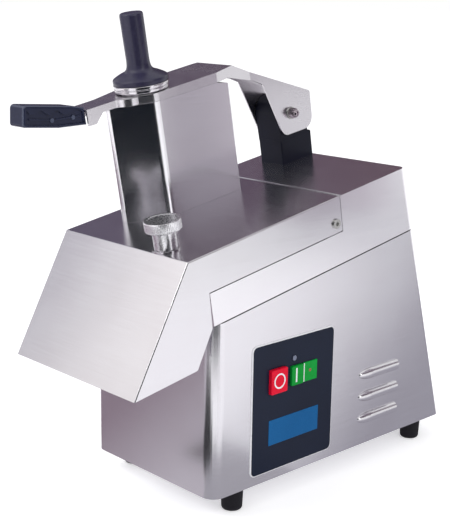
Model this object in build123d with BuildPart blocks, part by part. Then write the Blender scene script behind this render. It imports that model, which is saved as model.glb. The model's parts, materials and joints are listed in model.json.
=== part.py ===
from build123d import *
from math import asin, cos, hypot, radians, sin, tan
import os

os.makedirs("parts", exist_ok=True)

# Frame: +Z up, -Y is the discharge side, +X is the side with the switches.
# The floor is z = 0. Sizes are millimetres.
# On the tilted deck, x runs across, u runs rearwards along the deck from its
# front edge, and v stands square to the deck.

# Body
body_width = 235.0
foot_height = 30.0
front_wall_y = -157.5
base_length = 458.5
rear_lean = 16.3
deck_tilt = 10.5
deck_front_reach = 42.2
deck_front_rise = 307.6
sheet = 1.5
seam_gap = 0.3
base_top_v = -91.5
front_corner_radius = 18.0
rear_corner_radius = 9.0
bend_radius = 1.6
bottom_thickness = 2.0

# Head and cover
head_bottom_v = -90.0
head_front_u = 26.0
head_front_v = -48.0
joint_u = 262.0
joint_gap = 0.8
ledge_width = 7.0
cover_skirt_v = -46.8
hood_reach = 104.6
hood_drop = 132.6
hood_heel_u = -8.1
hood_throat_u = 22.9
hood_throat_v = -91.4
cover_pivot_u = 250.4
cover_pivot_v = -34.0
cover_pivot_radius = 4.0
pivot_lug_length = 24.0
pivot_lug_height = 28.0
pivot_lug_width = 10.0

# Feed chute
chute_right = -27.0
chute_left = -102.0
chute_rear = 227.0
chute_corner_u = 102.4
chute_apex_x = -65.5
chute_apex_u = 49.4
chute_arc_u = 150.0
chute_chamfer = 35.0
chute_wall = 2.0
chute_height = 149.5
chute_rear_drop = 5.0
chute_rear_slope_u = 206.0

# Lever
pin_u = 354.0
pin_v = 71.0
lever_x = -70.5
lever_sheet = 2.5
lid_overhang = 1.5
lid_lift = 0.3
lid_rise = 11.2
lid_slope = 0.023
arm_width = 35.0
arm_front_u = 16.0
arm_depth = 20.0
lid_bend_u = 243.0
lid_bend_angle = 24.6
web_end_u = 323.0
ear_span = 50.5
ear_rear_u = 396.0
ear_bottom_v = 41.5
taper_start_u = 206.0
taper_end_u = 283.0
flange_bulge_radius = 20.0
flange_bulge_u = 74.6
flange_bulge_proud = 5.0

# Grip
grip_width = 30.0
grip_recess = 2.5
grip_rail = 2.0
grip_edge_round = 3.0
tang_rise = 0.126
tang_rear_v = 149.3
tang_length = 68.0
tang_width = 20.0
tang_thickness = 4.0
tang_root = 14.0
grip_screw_us = (-32.2, -2.0)
grip_screw_head = 3.0
grip_screw_radius = 1.4

# Pusher and plunger
pusher_inset = 5.0
pusher_bottom_v = 25.0
pusher_rear_u = 200.0
pusher_wall = 3.0
pusher_swing = 20.0
plunger_x = -63.0
plunger_u = 112.0
plunger_radius = 24.5
plunger_play = 0.5
tube_wall = 1.8
collar_radius = 35.2
collar_top_v = 170.0
handle_radius = 14.5
handle_top_v = 256.5
plunger_travel = 120.0

# Lever bracket
bracket_width = 44.5
tongue_width = 44.0
bracket_front_u = 332.0
bracket_rear_u = 394.0
bracket_box_height = 36.0
tongue_rear_u = 387.0
tongue_radius = 23.0
pin_radius = 6.0
running_clearance = 0.05
bush_wall = 2.5
bracket_screw_radius = 3.0
bracket_screw_inset = 10.0

# Cover clamp knob
knob_x = 60.0
knob_u = 17.0
knob_radius = 22.5
knob_head_height = 13.5
knob_neck_radius = 14.5
knob_neck_height = 22.0
stud_radius = 5.0
stud_nut_across = 17.0
stud_nut_height = 8.0
washer_radius = 17.0
washer_thickness = 2.0

# Disc chamber and spindle
spindle_u = 140.0
disc_radius = 102.5
disc_top_v = -5.0
disc_thickness = 3.5
pan_floor_v = -60.0
pan_floor_thickness = 3.5
pan_radius = 105.0
pan_wall = 3.0
pan_top_v = -3.0
pan_mouth = 62.0
shaft_radius = 10.0
blade_count = 3
blade_length = 74.0
blade_width = 14.0
blade_slot = 9.0
blade_offset = 14.0
blade_thickness = 1.2
blade_screw_steps = (12, 62)

# Drive
plate_top_v = -92.0
plate_thickness = 4.5
pulley_top_v = -67.0
pulley_height = 18.0
belt_thickness = 4.0
belt_width = 14.0
belt_clearance = 0.3
driven_radius = 61.0
motor_pulley_radius = 13.0
motor_u = 310.0
motor_radius = 62.0
motor_body_top_v = -112.0
motor_body_bottom_v = -240.0
motor_bell = 13.0
rotor_radius = 32.0
air_gap = 0.4
motor_shaft_radius = 7.5
motor_bolt_turn = 45.0
capacitor_reach = 60.0
fan_cover_drop = 33.0
vent_circle = 36.0
vent_length = 24.0
vent_width = 6.0
bearing_radius = 21.0
bearing_width = 12.0
housing_radius = 30.0
housing_depth = 54.0

# Control panel
panel_y = 138.5 + front_wall_y
panel_z = 98.5 + foot_height
panel_length = 148.0
panel_height = 170.0
panel_thickness = 1.6
panel_corner = 7.0
switch_z = 133.0 + foot_height
stop_y = 107.4 + front_wall_y
stop_length = 29.0
stop_height = 32.0
stop_proud = 4.9
start_y = 142.0 + front_wall_y
start_length = 22.0
start_height = 26.0
lamp_y = 166.8 + front_wall_y
lamp_length = 26.0
start_proud = 3.4
button_travel = 3.0
button_gap = 0.35
button_depth = 8.0
switch_depth = 42.0

panel_screw_y = 137.4 + front_wall_y
panel_screw_z = 156.1 + foot_height
panel_screw_radius = 1.5

# Safety switches inside the head
safety_switch_length = 28.0
safety_switch_depth = 10.0
safety_switch_height = 16.0
cover_switch_x = 80.0
cover_switch_v = -30.0

# Cable gland in the rear wall
gland_x = 60.0
gland_z = 86.0
gland_thread_radius = 8.0
gland_reach = 14.0
gland_across = 22.0

# Louvres
louvre_count = 3
louvre_pitch = 31.8
louvre_low_z = 37.6 + foot_height
louvre_front_y = 268.5 + front_wall_y
louvre_length = 80.0
louvre_nose = 26.0
louvre_radius = 8.2
louvre_sink = 1.7
louvre_skin = 1.2

# Feet
foot_top_radius = 14.7
foot_bottom_radius = 13.3
foot_round = 4.0
foot_bore_radius = 6.0
foot_bore_depth = 14.0
foot_screw_radius = 3.0
foot_x = 98.0
foot_front_inset = 52.0
foot_rear_inset = 44.0

# The tilted deck and the planes taken from it
half_width = body_width / 2
inner_half_width = half_width - sheet
deck = Plane(
    origin=(0, front_wall_y - deck_front_reach, foot_height + deck_front_rise),
    x_dir=(1, 0, 0),
    z_dir=(0, -sin(radians(deck_tilt)), cos(radians(deck_tilt))),
)


def on_deck(v, x=0.0, u=0.0):
    # A plane parallel to the deck, v above it, with its origin at (x, u).
    return Plane(origin=deck.from_local_coords((x, u, v)), x_dir=(1, 0, 0), z_dir=deck.z_dir)


def across(x):
    # A plane square to X whose own axes are u and v.
    return Plane(origin=deck.from_local_coords((x, 0, 0)), x_dir=deck.y_dir, z_dir=(1, 0, 0))


def turning(x, u):
    # A plane through the upright line at (x, u); its own axes are radius and v.
    return Plane(origin=deck.from_local_coords((x, u, 0)), x_dir=(1, 0, 0), z_dir=-deck.y_dir)


def upright_axis(x, u):
    return Axis(deck.from_local_coords((x, u, 0)), deck.z_dir)


def world_yz(u, v):
    # The (y, z) pair of a point given in deck terms.
    point = deck.from_local_coords((0, u, v))
    return point.Y, point.Z


def outline(plane, *points):
    # A flat face with straight sides.
    with BuildSketch(plane) as face:
        with BuildLine():
            Polyline(*points, close=True)
        make_face()
    return face.sketch


def rear_u(v):
    # Where the leaning rear wall meets the level v.
    lean = tan(radians(rear_lean))
    s = sin(radians(deck_tilt))
    c = cos(radians(deck_tilt))
    reach = base_length + deck_front_reach - deck_front_rise * lean
    return (reach + v * (s - c * lean)) / (c + s * lean)


def front_wall_u(v):
    # Where the upright front wall meets the level v.
    s = sin(radians(deck_tilt))
    c = cos(radians(deck_tilt))
    return (deck_front_reach + v * s) / c


def lid_top(u):
    # The lid's outer face over the deck, with its slight rise to the rear.
    return chute_height + lid_lift + lid_rise + lid_slope * (u - spindle_u)


bracket_screw_places = [
    (lever_x + side * (bracket_width / 2 - bracket_screw_inset), u)
    for side in (-1, 1)
    for u in (bracket_front_u + bracket_screw_inset, bracket_rear_u - bracket_screw_inset)
]

# Base shell: folded sheet with pressed ventilation scoops on both sides
base_rear_y = front_wall_y + base_length
base_top_front = world_yz(front_wall_u(base_top_v), base_top_v)
base_top_rear = world_yz(rear_u(base_top_v), base_top_v)
louvre_axis_x = half_width - louvre_sink
switch_front_y = stop_y - stop_length / 2
switch_rear_y = lamp_y + lamp_length / 2
switch_mid_y = (switch_front_y + switch_rear_y) / 2
switch_block_length = switch_rear_y - switch_front_y + 8
switch_block_height = stop_height + 6
gland_plane = Plane(
    origin=(gland_x, base_rear_y - (gland_z - foot_height) * tan(radians(rear_lean)), gland_z),
    x_dir=(1, 0, 0),
    z_dir=(0, cos(radians(rear_lean)), sin(radians(rear_lean))),
)


def scoop_profile(radius, nose, index):
    # Half of one scoop's outline: a rounded nose and a straight run to the open rear end.
    level = Plane(
        origin=(louvre_axis_x, louvre_front_y, louvre_low_z + index * louvre_pitch),
        x_dir=(0, 1, 0),
        z_dir=(0, 0, 1),
    )
    start = louvre_nose - nose
    with BuildSketch(level) as face:
        with BuildLine():
            EllipticalCenterArc((louvre_nose, 0), nose, radius, start_angle=90, arc_size=90)
            Polyline((start, 0), (louvre_length, 0), (louvre_length, radius), (louvre_nose, radius))
        make_face()
    return face.sketch, Axis(level.origin, (0, 1, 0))


with BuildPart() as scoops:
    for index in range(louvre_count):
        face, axis = scoop_profile(louvre_radius, louvre_nose, index)
        revolve(face, axis)
    split(bisect_by=Plane.YZ.offset(half_width - sheet / 2))

with BuildPart() as scoop_hollows:
    for index in range(louvre_count):
        face, axis = scoop_profile(louvre_radius - louvre_skin, louvre_nose - louvre_skin, index)
        revolve(face, axis)


def base_outline(inset, drop):
    # Side view of the base, inset by a wall and run on past both open ends.
    low = foot_height - drop
    lean = tan(radians(rear_lean))
    tilt = tan(radians(deck_tilt))
    rear_low = base_rear_y + drop * lean - inset / cos(radians(rear_lean))
    rear_high = base_top_rear[0] - inset / cos(radians(rear_lean)) - drop * lean
    high = base_top_rear[1] + drop
    front_high = base_top_front[1] + drop + inset * tilt
    return outline(
        Plane.YZ,
        (front_wall_y + inset, low),
        (rear_low, low),
        (rear_high, high),
        (front_wall_y + inset, front_high),
    )


def rounded_base(face, reach, front_radius, rear_radius):
    # The base's block with its four upright corners rounded.
    with BuildPart() as block:
        extrude(face, amount=reach, both=True)
        front_edges = block.edges().filter_by(Axis.Z).group_by(Axis.Y)[0]
        fillet(front_edges, front_radius)
        rear_face = block.faces().filter_by(Plane.XZ, reverse=True).sort_by(Axis.Y)[-1]
        rear_edges = rear_face.edges().filter_by(Axis.X, reverse=True)
        fillet(rear_edges, rear_radius)
    return block.part


with BuildPart() as base_shell:
    add(rounded_base(base_outline(0, 0), half_width, front_corner_radius, rear_corner_radius))
    add(
        rounded_base(
            base_outline(sheet, 5),
            inner_half_width,
            front_corner_radius - sheet,
            rear_corner_radius - sheet,
        ),
        mode=Mode.SUBTRACT,
    )
    add(scoops.part)
    add(scoops.part.mirror(Plane.YZ))
    add(scoop_hollows.part, mode=Mode.SUBTRACT)
    add(scoop_hollows.part.mirror(Plane.YZ), mode=Mode.SUBTRACT)
    with BuildSketch(Plane.YZ.offset(half_width - 2 * sheet)):
        with Locations((switch_mid_y, switch_z)):
            Rectangle(switch_block_length + 2 * seam_gap, switch_block_height + 2 * seam_gap)
        with Locations((panel_screw_y, panel_screw_z)):
            Circle(panel_screw_radius)
    extrude(amount=3 * sheet, mode=Mode.SUBTRACT)
    with BuildSketch(gland_plane.offset(-10)):
        Circle(gland_thread_radius)
    extrude(amount=20, mode=Mode.SUBTRACT)
base_shell.part.label = "base_shell"
export_step(base_shell.part, "parts/base_shell.step")

# Bottom plate, which carries the feet
foot_places = [
    (side * foot_x, y)
    for y in (front_wall_y + foot_front_inset, base_rear_y - foot_rear_inset)
    for side in (-1, 1)
]
plate_margin = sheet + seam_gap
with BuildPart() as bottom_plate:
    with BuildSketch(Plane.XY.offset(foot_height)) as plate_face:
        with Locations((0, front_wall_y + base_length / 2 - bottom_thickness / 2)):
            Rectangle(body_width - 2 * plate_margin, base_length - 2 * plate_margin - bottom_thickness)
        fillet(plate_face.vertices().group_by(Axis.Y)[0], front_corner_radius - sheet)
        fillet(plate_face.vertices().group_by(Axis.Y)[-1], rear_corner_radius)
        with Locations(*foot_places):
            Circle(foot_screw_radius + running_clearance, mode=Mode.SUBTRACT)
    extrude(amount=bottom_thickness)
bottom_plate.part.label = "bottom_plate"
export_step(bottom_plate.part, "parts/bottom_plate.step")

# Rubber feet, bored for their screws
with BuildPart() as rubber_feet:
    for x, y in foot_places:
        with BuildSketch(Plane(origin=(x, y, 0), x_dir=(1, 0, 0), z_dir=(0, -1, 0))) as foot_face:
            with BuildLine():
                Polyline(
                    (foot_bore_radius, 0),
                    (foot_bottom_radius, 0),
                    (foot_top_radius, foot_height),
                    (foot_screw_radius + running_clearance, foot_height),
                    (foot_screw_radius + running_clearance, foot_bore_depth),
                    (foot_bore_radius, foot_bore_depth),
                    close=True,
                )
            make_face()
            fillet(foot_face.vertices().group_by(Axis.Y)[0].sort_by(Axis.X)[-1], foot_round)
        revolve(axis=Axis((x, y, 0), (0, 0, 1)))
rubber_feet.part.label = "rubber_feet"
export_step(rubber_feet.part, "parts/rubber_feet.step")

# Foot screws, each with its head in the foot's bore and a nut above the plate
screw_head_radius = foot_bore_radius - 0.8
screw_head_height = 4.0
foot_nut_across = 10.0
with BuildPart() as foot_screws:
    with BuildSketch(Plane.XY.offset(foot_bore_depth - screw_head_height)):
        with Locations(*foot_places):
            Circle(screw_head_radius)
    extrude(amount=screw_head_height)
    with BuildSketch(Plane.XY.offset(foot_bore_depth)):
        with Locations(*foot_places):
            Circle(foot_screw_radius)
    extrude(amount=foot_height - foot_bore_depth + bottom_thickness + 8)
    with BuildSketch(Plane.XY.offset(foot_height + bottom_thickness)):
        with Locations(*foot_places):
            RegularPolygon(foot_nut_across / 2, 6, major_radius=False)
    extrude(amount=5)
foot_screws.part.label = "foot_screws"
export_step(foot_screws.part, "parts/foot_screws.step")

# Head shell: fixed upper casing, open below and over the disc chamber
cover_rear_u = joint_u - joint_gap / 2
head_wall_u = joint_u + joint_gap / 2
with BuildPart() as head_shell:
    head_face = outline(
        across(0),
        (head_front_u, head_bottom_v),
        (head_front_u, head_front_v),
        (head_wall_u, head_front_v),
        (head_wall_u, 0),
        (rear_u(0), 0),
        (rear_u(head_bottom_v), head_bottom_v),
    )
    extrude(head_face, amount=half_width, both=True)
    rear_face = head_shell.faces().sort_by(Axis.Y)[-1]
    fillet(rear_face.edges().filter_by(Axis.X, reverse=True), rear_corner_radius)
    head_room = outline(
        across(0),
        (head_front_u + sheet, head_bottom_v - 5),
        (head_front_u + sheet, head_front_v - sheet),
        (head_wall_u + sheet, head_front_v - sheet),
        (head_wall_u + sheet, -sheet),
        (rear_u(-sheet) - sheet, -sheet),
        (rear_u(head_bottom_v - 5) - sheet, head_bottom_v - 5),
    )
    with BuildPart(mode=Mode.PRIVATE) as head_hollow:
        extrude(head_room, amount=inner_half_width, both=True)
        room_rear = head_hollow.faces().sort_by(Axis.Y)[-1]
        fillet(room_rear.edges().filter_by(Axis.X, reverse=True), rear_corner_radius - sheet)
    add(head_hollow.part, mode=Mode.SUBTRACT)
    mouth = outline(
        across(0),
        (head_front_u - 5, pan_floor_v),
        (head_front_u - 5, head_front_v + 5),
        (head_front_u + sheet + 0.1, head_front_v + 5),
        (head_front_u + sheet + 0.1, pan_floor_v),
    )
    extrude(mouth, amount=inner_half_width, both=True, mode=Mode.SUBTRACT)
    chamber_top = outline(
        across(0),
        (head_front_u - 5, head_front_v - 2 * sheet),
        (head_front_u - 5, head_front_v + 5),
        (head_wall_u, head_front_v + 5),
        (head_wall_u, head_front_v - 2 * sheet),
    )
    extrude(chamber_top, amount=inner_half_width - ledge_width, both=True, mode=Mode.SUBTRACT)
    with BuildSketch(on_deck(-sheet)):
        with Locations(*bracket_screw_places):
            Circle(bracket_screw_radius + running_clearance)
    extrude(amount=2 * sheet, mode=Mode.SUBTRACT)
head_shell.part.label = "head_shell"
export_step(head_shell.part, "parts/head_shell.step")

# Disc pan: cast floor and ring wall round the slicing disc, open to the front
pan_half_width = inner_half_width - seam_gap
pan_front_u = head_front_u - 3.0
pan_rear_u = head_wall_u - seam_gap
hub_radius = 24.0
hub_rise = 4.0
seal_radius = 17.0
lug_width = 22.0
with BuildPart() as disc_pan:
    with BuildSketch(on_deck(pan_floor_v)):
        with Locations((0, (head_front_u + sheet + seam_gap + pan_rear_u) / 2)):
            Rectangle(2 * pan_half_width, pan_rear_u - head_front_u - sheet - seam_gap)
        with Locations((0, pan_front_u + (head_front_u + sheet + 1 - pan_front_u) / 2)):
            Rectangle(2 * (pan_half_width - 2), head_front_u + sheet + 1 - pan_front_u)
        with Locations((knob_x, (knob_u - lug_width / 2 + pan_front_u + 1) / 2)):
            Rectangle(lug_width, pan_front_u + 1 - knob_u + lug_width / 2)
    extrude(amount=pan_floor_thickness)
    with BuildSketch(on_deck(pan_floor_v, 0, spindle_u)):
        Circle(pan_radius + pan_wall)
        Circle(pan_radius, mode=Mode.SUBTRACT)
        with Locations((0, -pan_mouth - pan_radius)):
            Rectangle(3 * pan_radius, 2 * pan_radius, mode=Mode.SUBTRACT)
    extrude(amount=pan_top_v - pan_floor_v)
    with BuildSketch(on_deck(pan_floor_v, 0, spindle_u)):
        Circle(hub_radius)
    extrude(amount=pan_floor_thickness + hub_rise)
    with BuildSketch(on_deck(pan_floor_v, 0, spindle_u)):
        Circle(seal_radius)
    extrude(amount=pan_floor_thickness + hub_rise, mode=Mode.SUBTRACT)
    with BuildSketch(on_deck(pan_floor_v, knob_x, knob_u)):
        Circle(stud_radius)
    extrude(amount=pan_floor_thickness, mode=Mode.SUBTRACT)
disc_pan.part.label = "disc_pan"
export_step(disc_pan.part, "parts/disc_pan.step")

# Cover: deck plate, side skirts and discharge hood in one welded sheet
hood_slope = hood_reach / hood_drop


def hood_inner_u(v):
    # The inside of the slanted front plate at the level v.
    return v * hood_slope + sheet * hypot(hood_slope, 1)


def chute_face(plane, inset):
    # The chute's plan outline, moved inwards by an inset.
    arc_rise = chute_arc_u - chute_apex_u
    arc_run = chute_apex_x - chute_left
    arc_radius = (arc_rise**2 + arc_run**2) / (2 * arc_run)
    middle = asin(arc_rise / arc_radius) / 2
    arc_middle = (
        chute_left + arc_radius * (1 - cos(middle)),
        chute_arc_u - arc_radius * sin(middle),
    )
    with BuildSketch(plane) as face:
        with BuildLine():
            Polyline(
                (chute_left, chute_arc_u),
                (chute_left, chute_rear - chute_chamfer),
                (chute_left + chute_chamfer, chute_rear),
                (chute_right, chute_rear),
                (chute_right, chute_corner_u),
                (chute_apex_x, chute_apex_u),
            )
            ThreePointArc((chute_apex_x, chute_apex_u), arc_middle, (chute_left, chute_arc_u))
        make_face()
        corners = face.vertices()
        fillet(corners.sort_by_distance((chute_apex_x, chute_apex_u))[0], 7)
        fillet(face.vertices().sort_by_distance((chute_right, chute_corner_u))[0], 20)
        fillet(face.vertices().sort_by_distance((chute_right, chute_rear))[0], 2.4)
        if inset:
            offset(amount=-inset, kind=Kind.INTERSECTION, mode=Mode.REPLACE)
    return face.sketch


with BuildPart() as cover:
    cover_side = outline(
        across(0),
        (0, 0),
        (cover_rear_u, 0),
        (cover_rear_u, cover_skirt_v),
        (head_front_u - 0.7, cover_skirt_v),
        (hood_throat_u, hood_throat_v),
        (hood_heel_u, -hood_drop - 0.8),
        (-hood_reach, -hood_drop),
    )
    extrude(cover_side, amount=half_width, both=True)
    top_face = cover.faces().filter_by(lambda f: f.normal_at().dot(deck.z_dir) > 0.99).sort_by(Axis.Z)[-1]
    front_face = cover.faces().sort_by(Axis.Y)[0]
    soft_edges = top_face.edges().filter_by(Axis.X, reverse=True) + front_face.edges().filter_by(
        Axis.X, reverse=True
    )
    fillet(soft_edges + [top_face.edges().filter_by(Axis.X).sort_by(Axis.Y)[0]], bend_radius)
    low_v = -hood_drop - 20
    cover_room = outline(
        across(0),
        (hood_inner_u(-sheet), -sheet),
        (cover_rear_u - sheet, -sheet),
        (cover_rear_u - sheet, low_v),
        (hood_inner_u(low_v), low_v),
    )
    extrude(cover_room, amount=inner_half_width, both=True, mode=Mode.SUBTRACT)
    extrude(chute_face(on_deck(-2 * sheet), chute_wall), amount=3 * sheet, mode=Mode.SUBTRACT)
    with BuildSketch(on_deck(-2 * sheet, knob_x, knob_u)):
        Circle(stud_radius + 0.5)
    extrude(amount=3 * sheet, mode=Mode.SUBTRACT)
    with BuildSketch(across(0)):
        with Locations((cover_pivot_u, cover_pivot_v)):
            Circle(cover_pivot_radius + running_clearance)
    extrude(amount=body_width, both=True, mode=Mode.SUBTRACT)
cover.part.label = "cover"
export_step(cover.part, "parts/cover.step")

# Feed chute: welded sheet duct standing on the deck
with BuildPart() as feed_chute:
    extrude(chute_face(on_deck(0), 0), amount=chute_height)
    extrude(chute_face(on_deck(0), chute_wall), amount=chute_height, mode=Mode.SUBTRACT)
    rear_slope = outline(
        across(0),
        (chute_rear_slope_u, chute_height),
        (chute_rear + 5, chute_height - chute_rear_drop * (chute_rear + 5 - chute_rear_slope_u)
         / (chute_rear - chute_rear_slope_u)),
        (chute_rear + 5, chute_height + 5),
        (chute_rear_slope_u, chute_height + 5),
    )
    extrude(rear_slope, amount=half_width, both=True, mode=Mode.SUBTRACT)
feed_chute.part.label = "feed_chute"
export_step(feed_chute.part, "parts/feed_chute.step")

# Lever bracket: black block with a rounded tongue that carries the hinge
bush_radius = pin_radius + running_clearance + bush_wall
with BuildPart() as lever_bracket:
    with BuildSketch(on_deck(0, lever_x, (bracket_front_u + bracket_rear_u) / 2)) as foot_face:
        Rectangle(bracket_width, bracket_rear_u - bracket_front_u)
        fillet(foot_face.vertices(), 2)
    extrude(amount=bracket_box_height)
    chamfer(lever_bracket.faces().sort_by(Axis.Z)[-1].edges(), 1)
    with BuildSketch(across(lever_x)):
        with BuildLine():
            tongue_front = bracket_front_u + 0.5
            Polyline(
                (pin_u - tongue_radius, pin_v),
                (tongue_front, bracket_box_height - 4),
                (tongue_rear_u, bracket_box_height - 4),
                (tongue_rear_u, pin_v - tongue_radius),
                (pin_u + tongue_radius, pin_v),
            )
            RadiusArc((pin_u - tongue_radius, pin_v), (pin_u + tongue_radius, pin_v), tongue_radius)
        make_face()
    extrude(amount=tongue_width / 2, both=True)
    with BuildSketch(across(lever_x)):
        with Locations((pin_u, pin_v)):
            Circle(bush_radius)
    extrude(amount=bracket_width, both=True, mode=Mode.SUBTRACT)
    with BuildSketch(on_deck(0)):
        with Locations(*bracket_screw_places):
            Circle(bracket_screw_radius + running_clearance)
    extrude(amount=bracket_box_height - 12, mode=Mode.SUBTRACT)
lever_bracket.part.label = "lever_bracket"
export_step(lever_bracket.part, "parts/lever_bracket.step")

# Bracket screws, driven up from inside the head
with BuildPart() as bracket_screws:
    with BuildSketch(on_deck(-sheet - 4)):
        with Locations(*bracket_screw_places):
            Circle(bracket_screw_radius + 2.2)
    extrude(amount=4)
    with BuildSketch(on_deck(-sheet)):
        with Locations(*bracket_screw_places):
            Circle(bracket_screw_radius)
    extrude(amount=sheet + bracket_box_height - 14)
bracket_screws.part.label = "bracket_screws"
export_step(bracket_screws.part, "parts/bracket_screws.step")

# Hinge bushes, one in each side of the tongue
bush_length = 16.0
with BuildPart() as hinge_bushes:
    for side in (-1, 1):
        with BuildSketch(across(lever_x + side * (tongue_width / 2 - bush_length / 2))):
            with Locations((pin_u, pin_v)):
                Circle(bush_radius)
                Circle(pin_radius + running_clearance, mode=Mode.SUBTRACT)
        extrude(amount=bush_length / 2, both=True)
hinge_bushes.part.label = "hinge_bushes"
export_step(hinge_bushes.part, "parts/hinge_bushes.step")

# Lever: formed sheet with its arm, lid, flanges, web and two ears
bend_tan = tan(radians(lid_bend_angle))
bend_top = lid_top(lid_bend_u)
flange_low_v = chute_height + lid_lift


slant_run = chute_right - chute_apex_x
slant_rise = chute_corner_u - chute_apex_u
slant_length = hypot(slant_run, slant_rise)


def web_top(u):
    return bend_top - bend_tan * (u - lid_bend_u)


def lever_plan(plane, inset):
    # The lever seen from above: narrow arm, lid round the chute, taper to the ears.
    edge_x = chute_right + lid_overhang * slant_rise / slant_length
    edge_u = chute_corner_u - lid_overhang * slant_run / slant_length
    edge_slope = slant_rise / slant_run
    right = chute_right + lid_overhang
    left = chute_left - lid_overhang
    arm_right = lever_x + arm_width / 2
    arm_left = lever_x - arm_width / 2
    ear_right = lever_x + ear_span / 2
    ear_left = lever_x - ear_span / 2
    with BuildSketch(plane) as face:
        with BuildLine():
            Polyline(
                (arm_left, arm_front_u - 8),
                (arm_right, arm_front_u - 8),
                (arm_right, edge_u + (arm_right - edge_x) * edge_slope),
                (right, edge_u + (right - edge_x) * edge_slope),
                (right, taper_start_u),
                (ear_right, taper_end_u),
                (ear_right, ear_rear_u + 8),
                (ear_left, ear_rear_u + 8),
                (ear_left, taper_end_u),
                (left, lid_bend_u - 8),
                (left, chute_arc_u - 30),
                (arm_left, chute_apex_u + 4),
                close=True,
            )
        make_face()
        soft = [
            ((arm_right, edge_u + (arm_right - edge_x) * edge_slope), 12),
            ((right, edge_u + (right - edge_x) * edge_slope), 20),
            ((right, taper_start_u), 10),
            ((ear_right, taper_end_u), 16),
            ((ear_left, taper_end_u), 16),
            ((left, lid_bend_u - 8), 10),
            ((left, chute_arc_u - 30), 40),
            ((arm_left, chute_apex_u + 4), 30),
        ]
        for place, radius in soft:
            fillet(face.vertices().sort_by_distance(place)[0], radius)
        if inset:
            offset(amount=-inset, kind=Kind.INTERSECTION, mode=Mode.REPLACE)
    return face.sketch


bulge_in = flange_bulge_radius - flange_bulge_proud - lid_overhang
bulge_foot_x = chute_apex_x + (flange_bulge_u - chute_apex_u) * slant_run / slant_rise
bulge_x = bulge_foot_x - bulge_in * slant_rise / slant_length
bulge_u = flange_bulge_u + bulge_in * slant_run / slant_length


def tang_v(u):
    # The tang's lower face, which climbs towards the front.
    return tang_rear_v + (arm_front_u - u) * tang_rise


tang_front_u = arm_front_u - tang_length
with BuildPart() as lever_hollow:
    hollow_side = outline(
        across(0),
        (arm_front_u - 20, lid_top(arm_front_u - 20) - lever_sheet),
        (lid_bend_u - 0.6, bend_top - lever_sheet),
        (web_end_u, web_top(web_end_u) - lever_sheet / cos(radians(lid_bend_angle))),
        (web_end_u, bend_top + 20),
        (ear_rear_u + 20, bend_top + 20),
        (ear_rear_u + 20, 0),
        (arm_front_u - 20, 0),
    )
    extrude(hollow_side, amount=half_width, both=True)
    extrude(lever_plan(on_deck(-50), lever_sheet), amount=300, mode=Mode.INTERSECT)

with BuildPart() as lever:
    with BuildSketch(across(0)) as lever_side:
        with BuildLine():
            Polyline(
                (arm_front_u, lid_top(arm_front_u)),
                (lid_bend_u, bend_top),
                (ear_rear_u, web_top(ear_rear_u)),
                (ear_rear_u, ear_bottom_v),
                (bracket_front_u + 4.5, ear_bottom_v),
                (bracket_front_u - 26, 122),
                (bracket_front_u - 42, 131),
                (lid_bend_u - 12, flange_low_v),
                (arm_front_u + 24, flange_low_v),
                (arm_front_u + 12, lid_top(arm_front_u) - arm_depth),
                (arm_front_u, lid_top(arm_front_u) - arm_depth),
                close=True,
            )
        make_face()
        fillet(lever_side.vertices().sort_by_distance((ear_rear_u, ear_bottom_v))[0], 17)
        fillet(lever_side.vertices().sort_by_distance((bracket_front_u + 4.5, ear_bottom_v))[0], 14)
        fillet(lever_side.vertices().sort_by_distance((ear_rear_u, web_top(ear_rear_u)))[0], 4)
    extrude(amount=half_width, both=True)
    extrude(lever_plan(on_deck(-50), 0), amount=300, mode=Mode.INTERSECT)
    # Pressed bulge in the slanted flange
    with BuildSketch(on_deck(flange_low_v, bulge_x, bulge_u)):
        Circle(flange_bulge_radius)
    extrude(amount=lid_top(bulge_u) - flange_low_v - 0.8)
    add(lever_hollow.part, mode=Mode.SUBTRACT)
    # Tang that runs up inside the grip
    tang_side = outline(
        across(lever_x),
        (arm_front_u + tang_root, tang_v(arm_front_u)),
        (arm_front_u + tang_root, lid_top(arm_front_u) - 1),
        (arm_front_u, lid_top(arm_front_u) - 1),
        (arm_front_u, tang_v(arm_front_u) + tang_thickness),
        (tang_front_u, tang_v(tang_front_u) + tang_thickness),
        (tang_front_u, tang_v(tang_front_u)),
        (arm_front_u, tang_v(arm_front_u)),
    )
    extrude(tang_side, amount=tang_width / 2, both=True)
    # Holes for the plunger's tube and the hinge pin
    with BuildSketch(on_deck(flange_low_v - 10, plunger_x, plunger_u)):
        Circle(plunger_radius + plunger_play + tube_wall)
    extrude(amount=60, mode=Mode.SUBTRACT)
    with BuildSketch(across(lever_x)):
        with Locations((pin_u, pin_v)):
            Circle(pin_radius)
    extrude(amount=ear_span, both=True, mode=Mode.SUBTRACT)
lever.part.label = "lever"
export_step(lever.part, "parts/lever.step")

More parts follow.
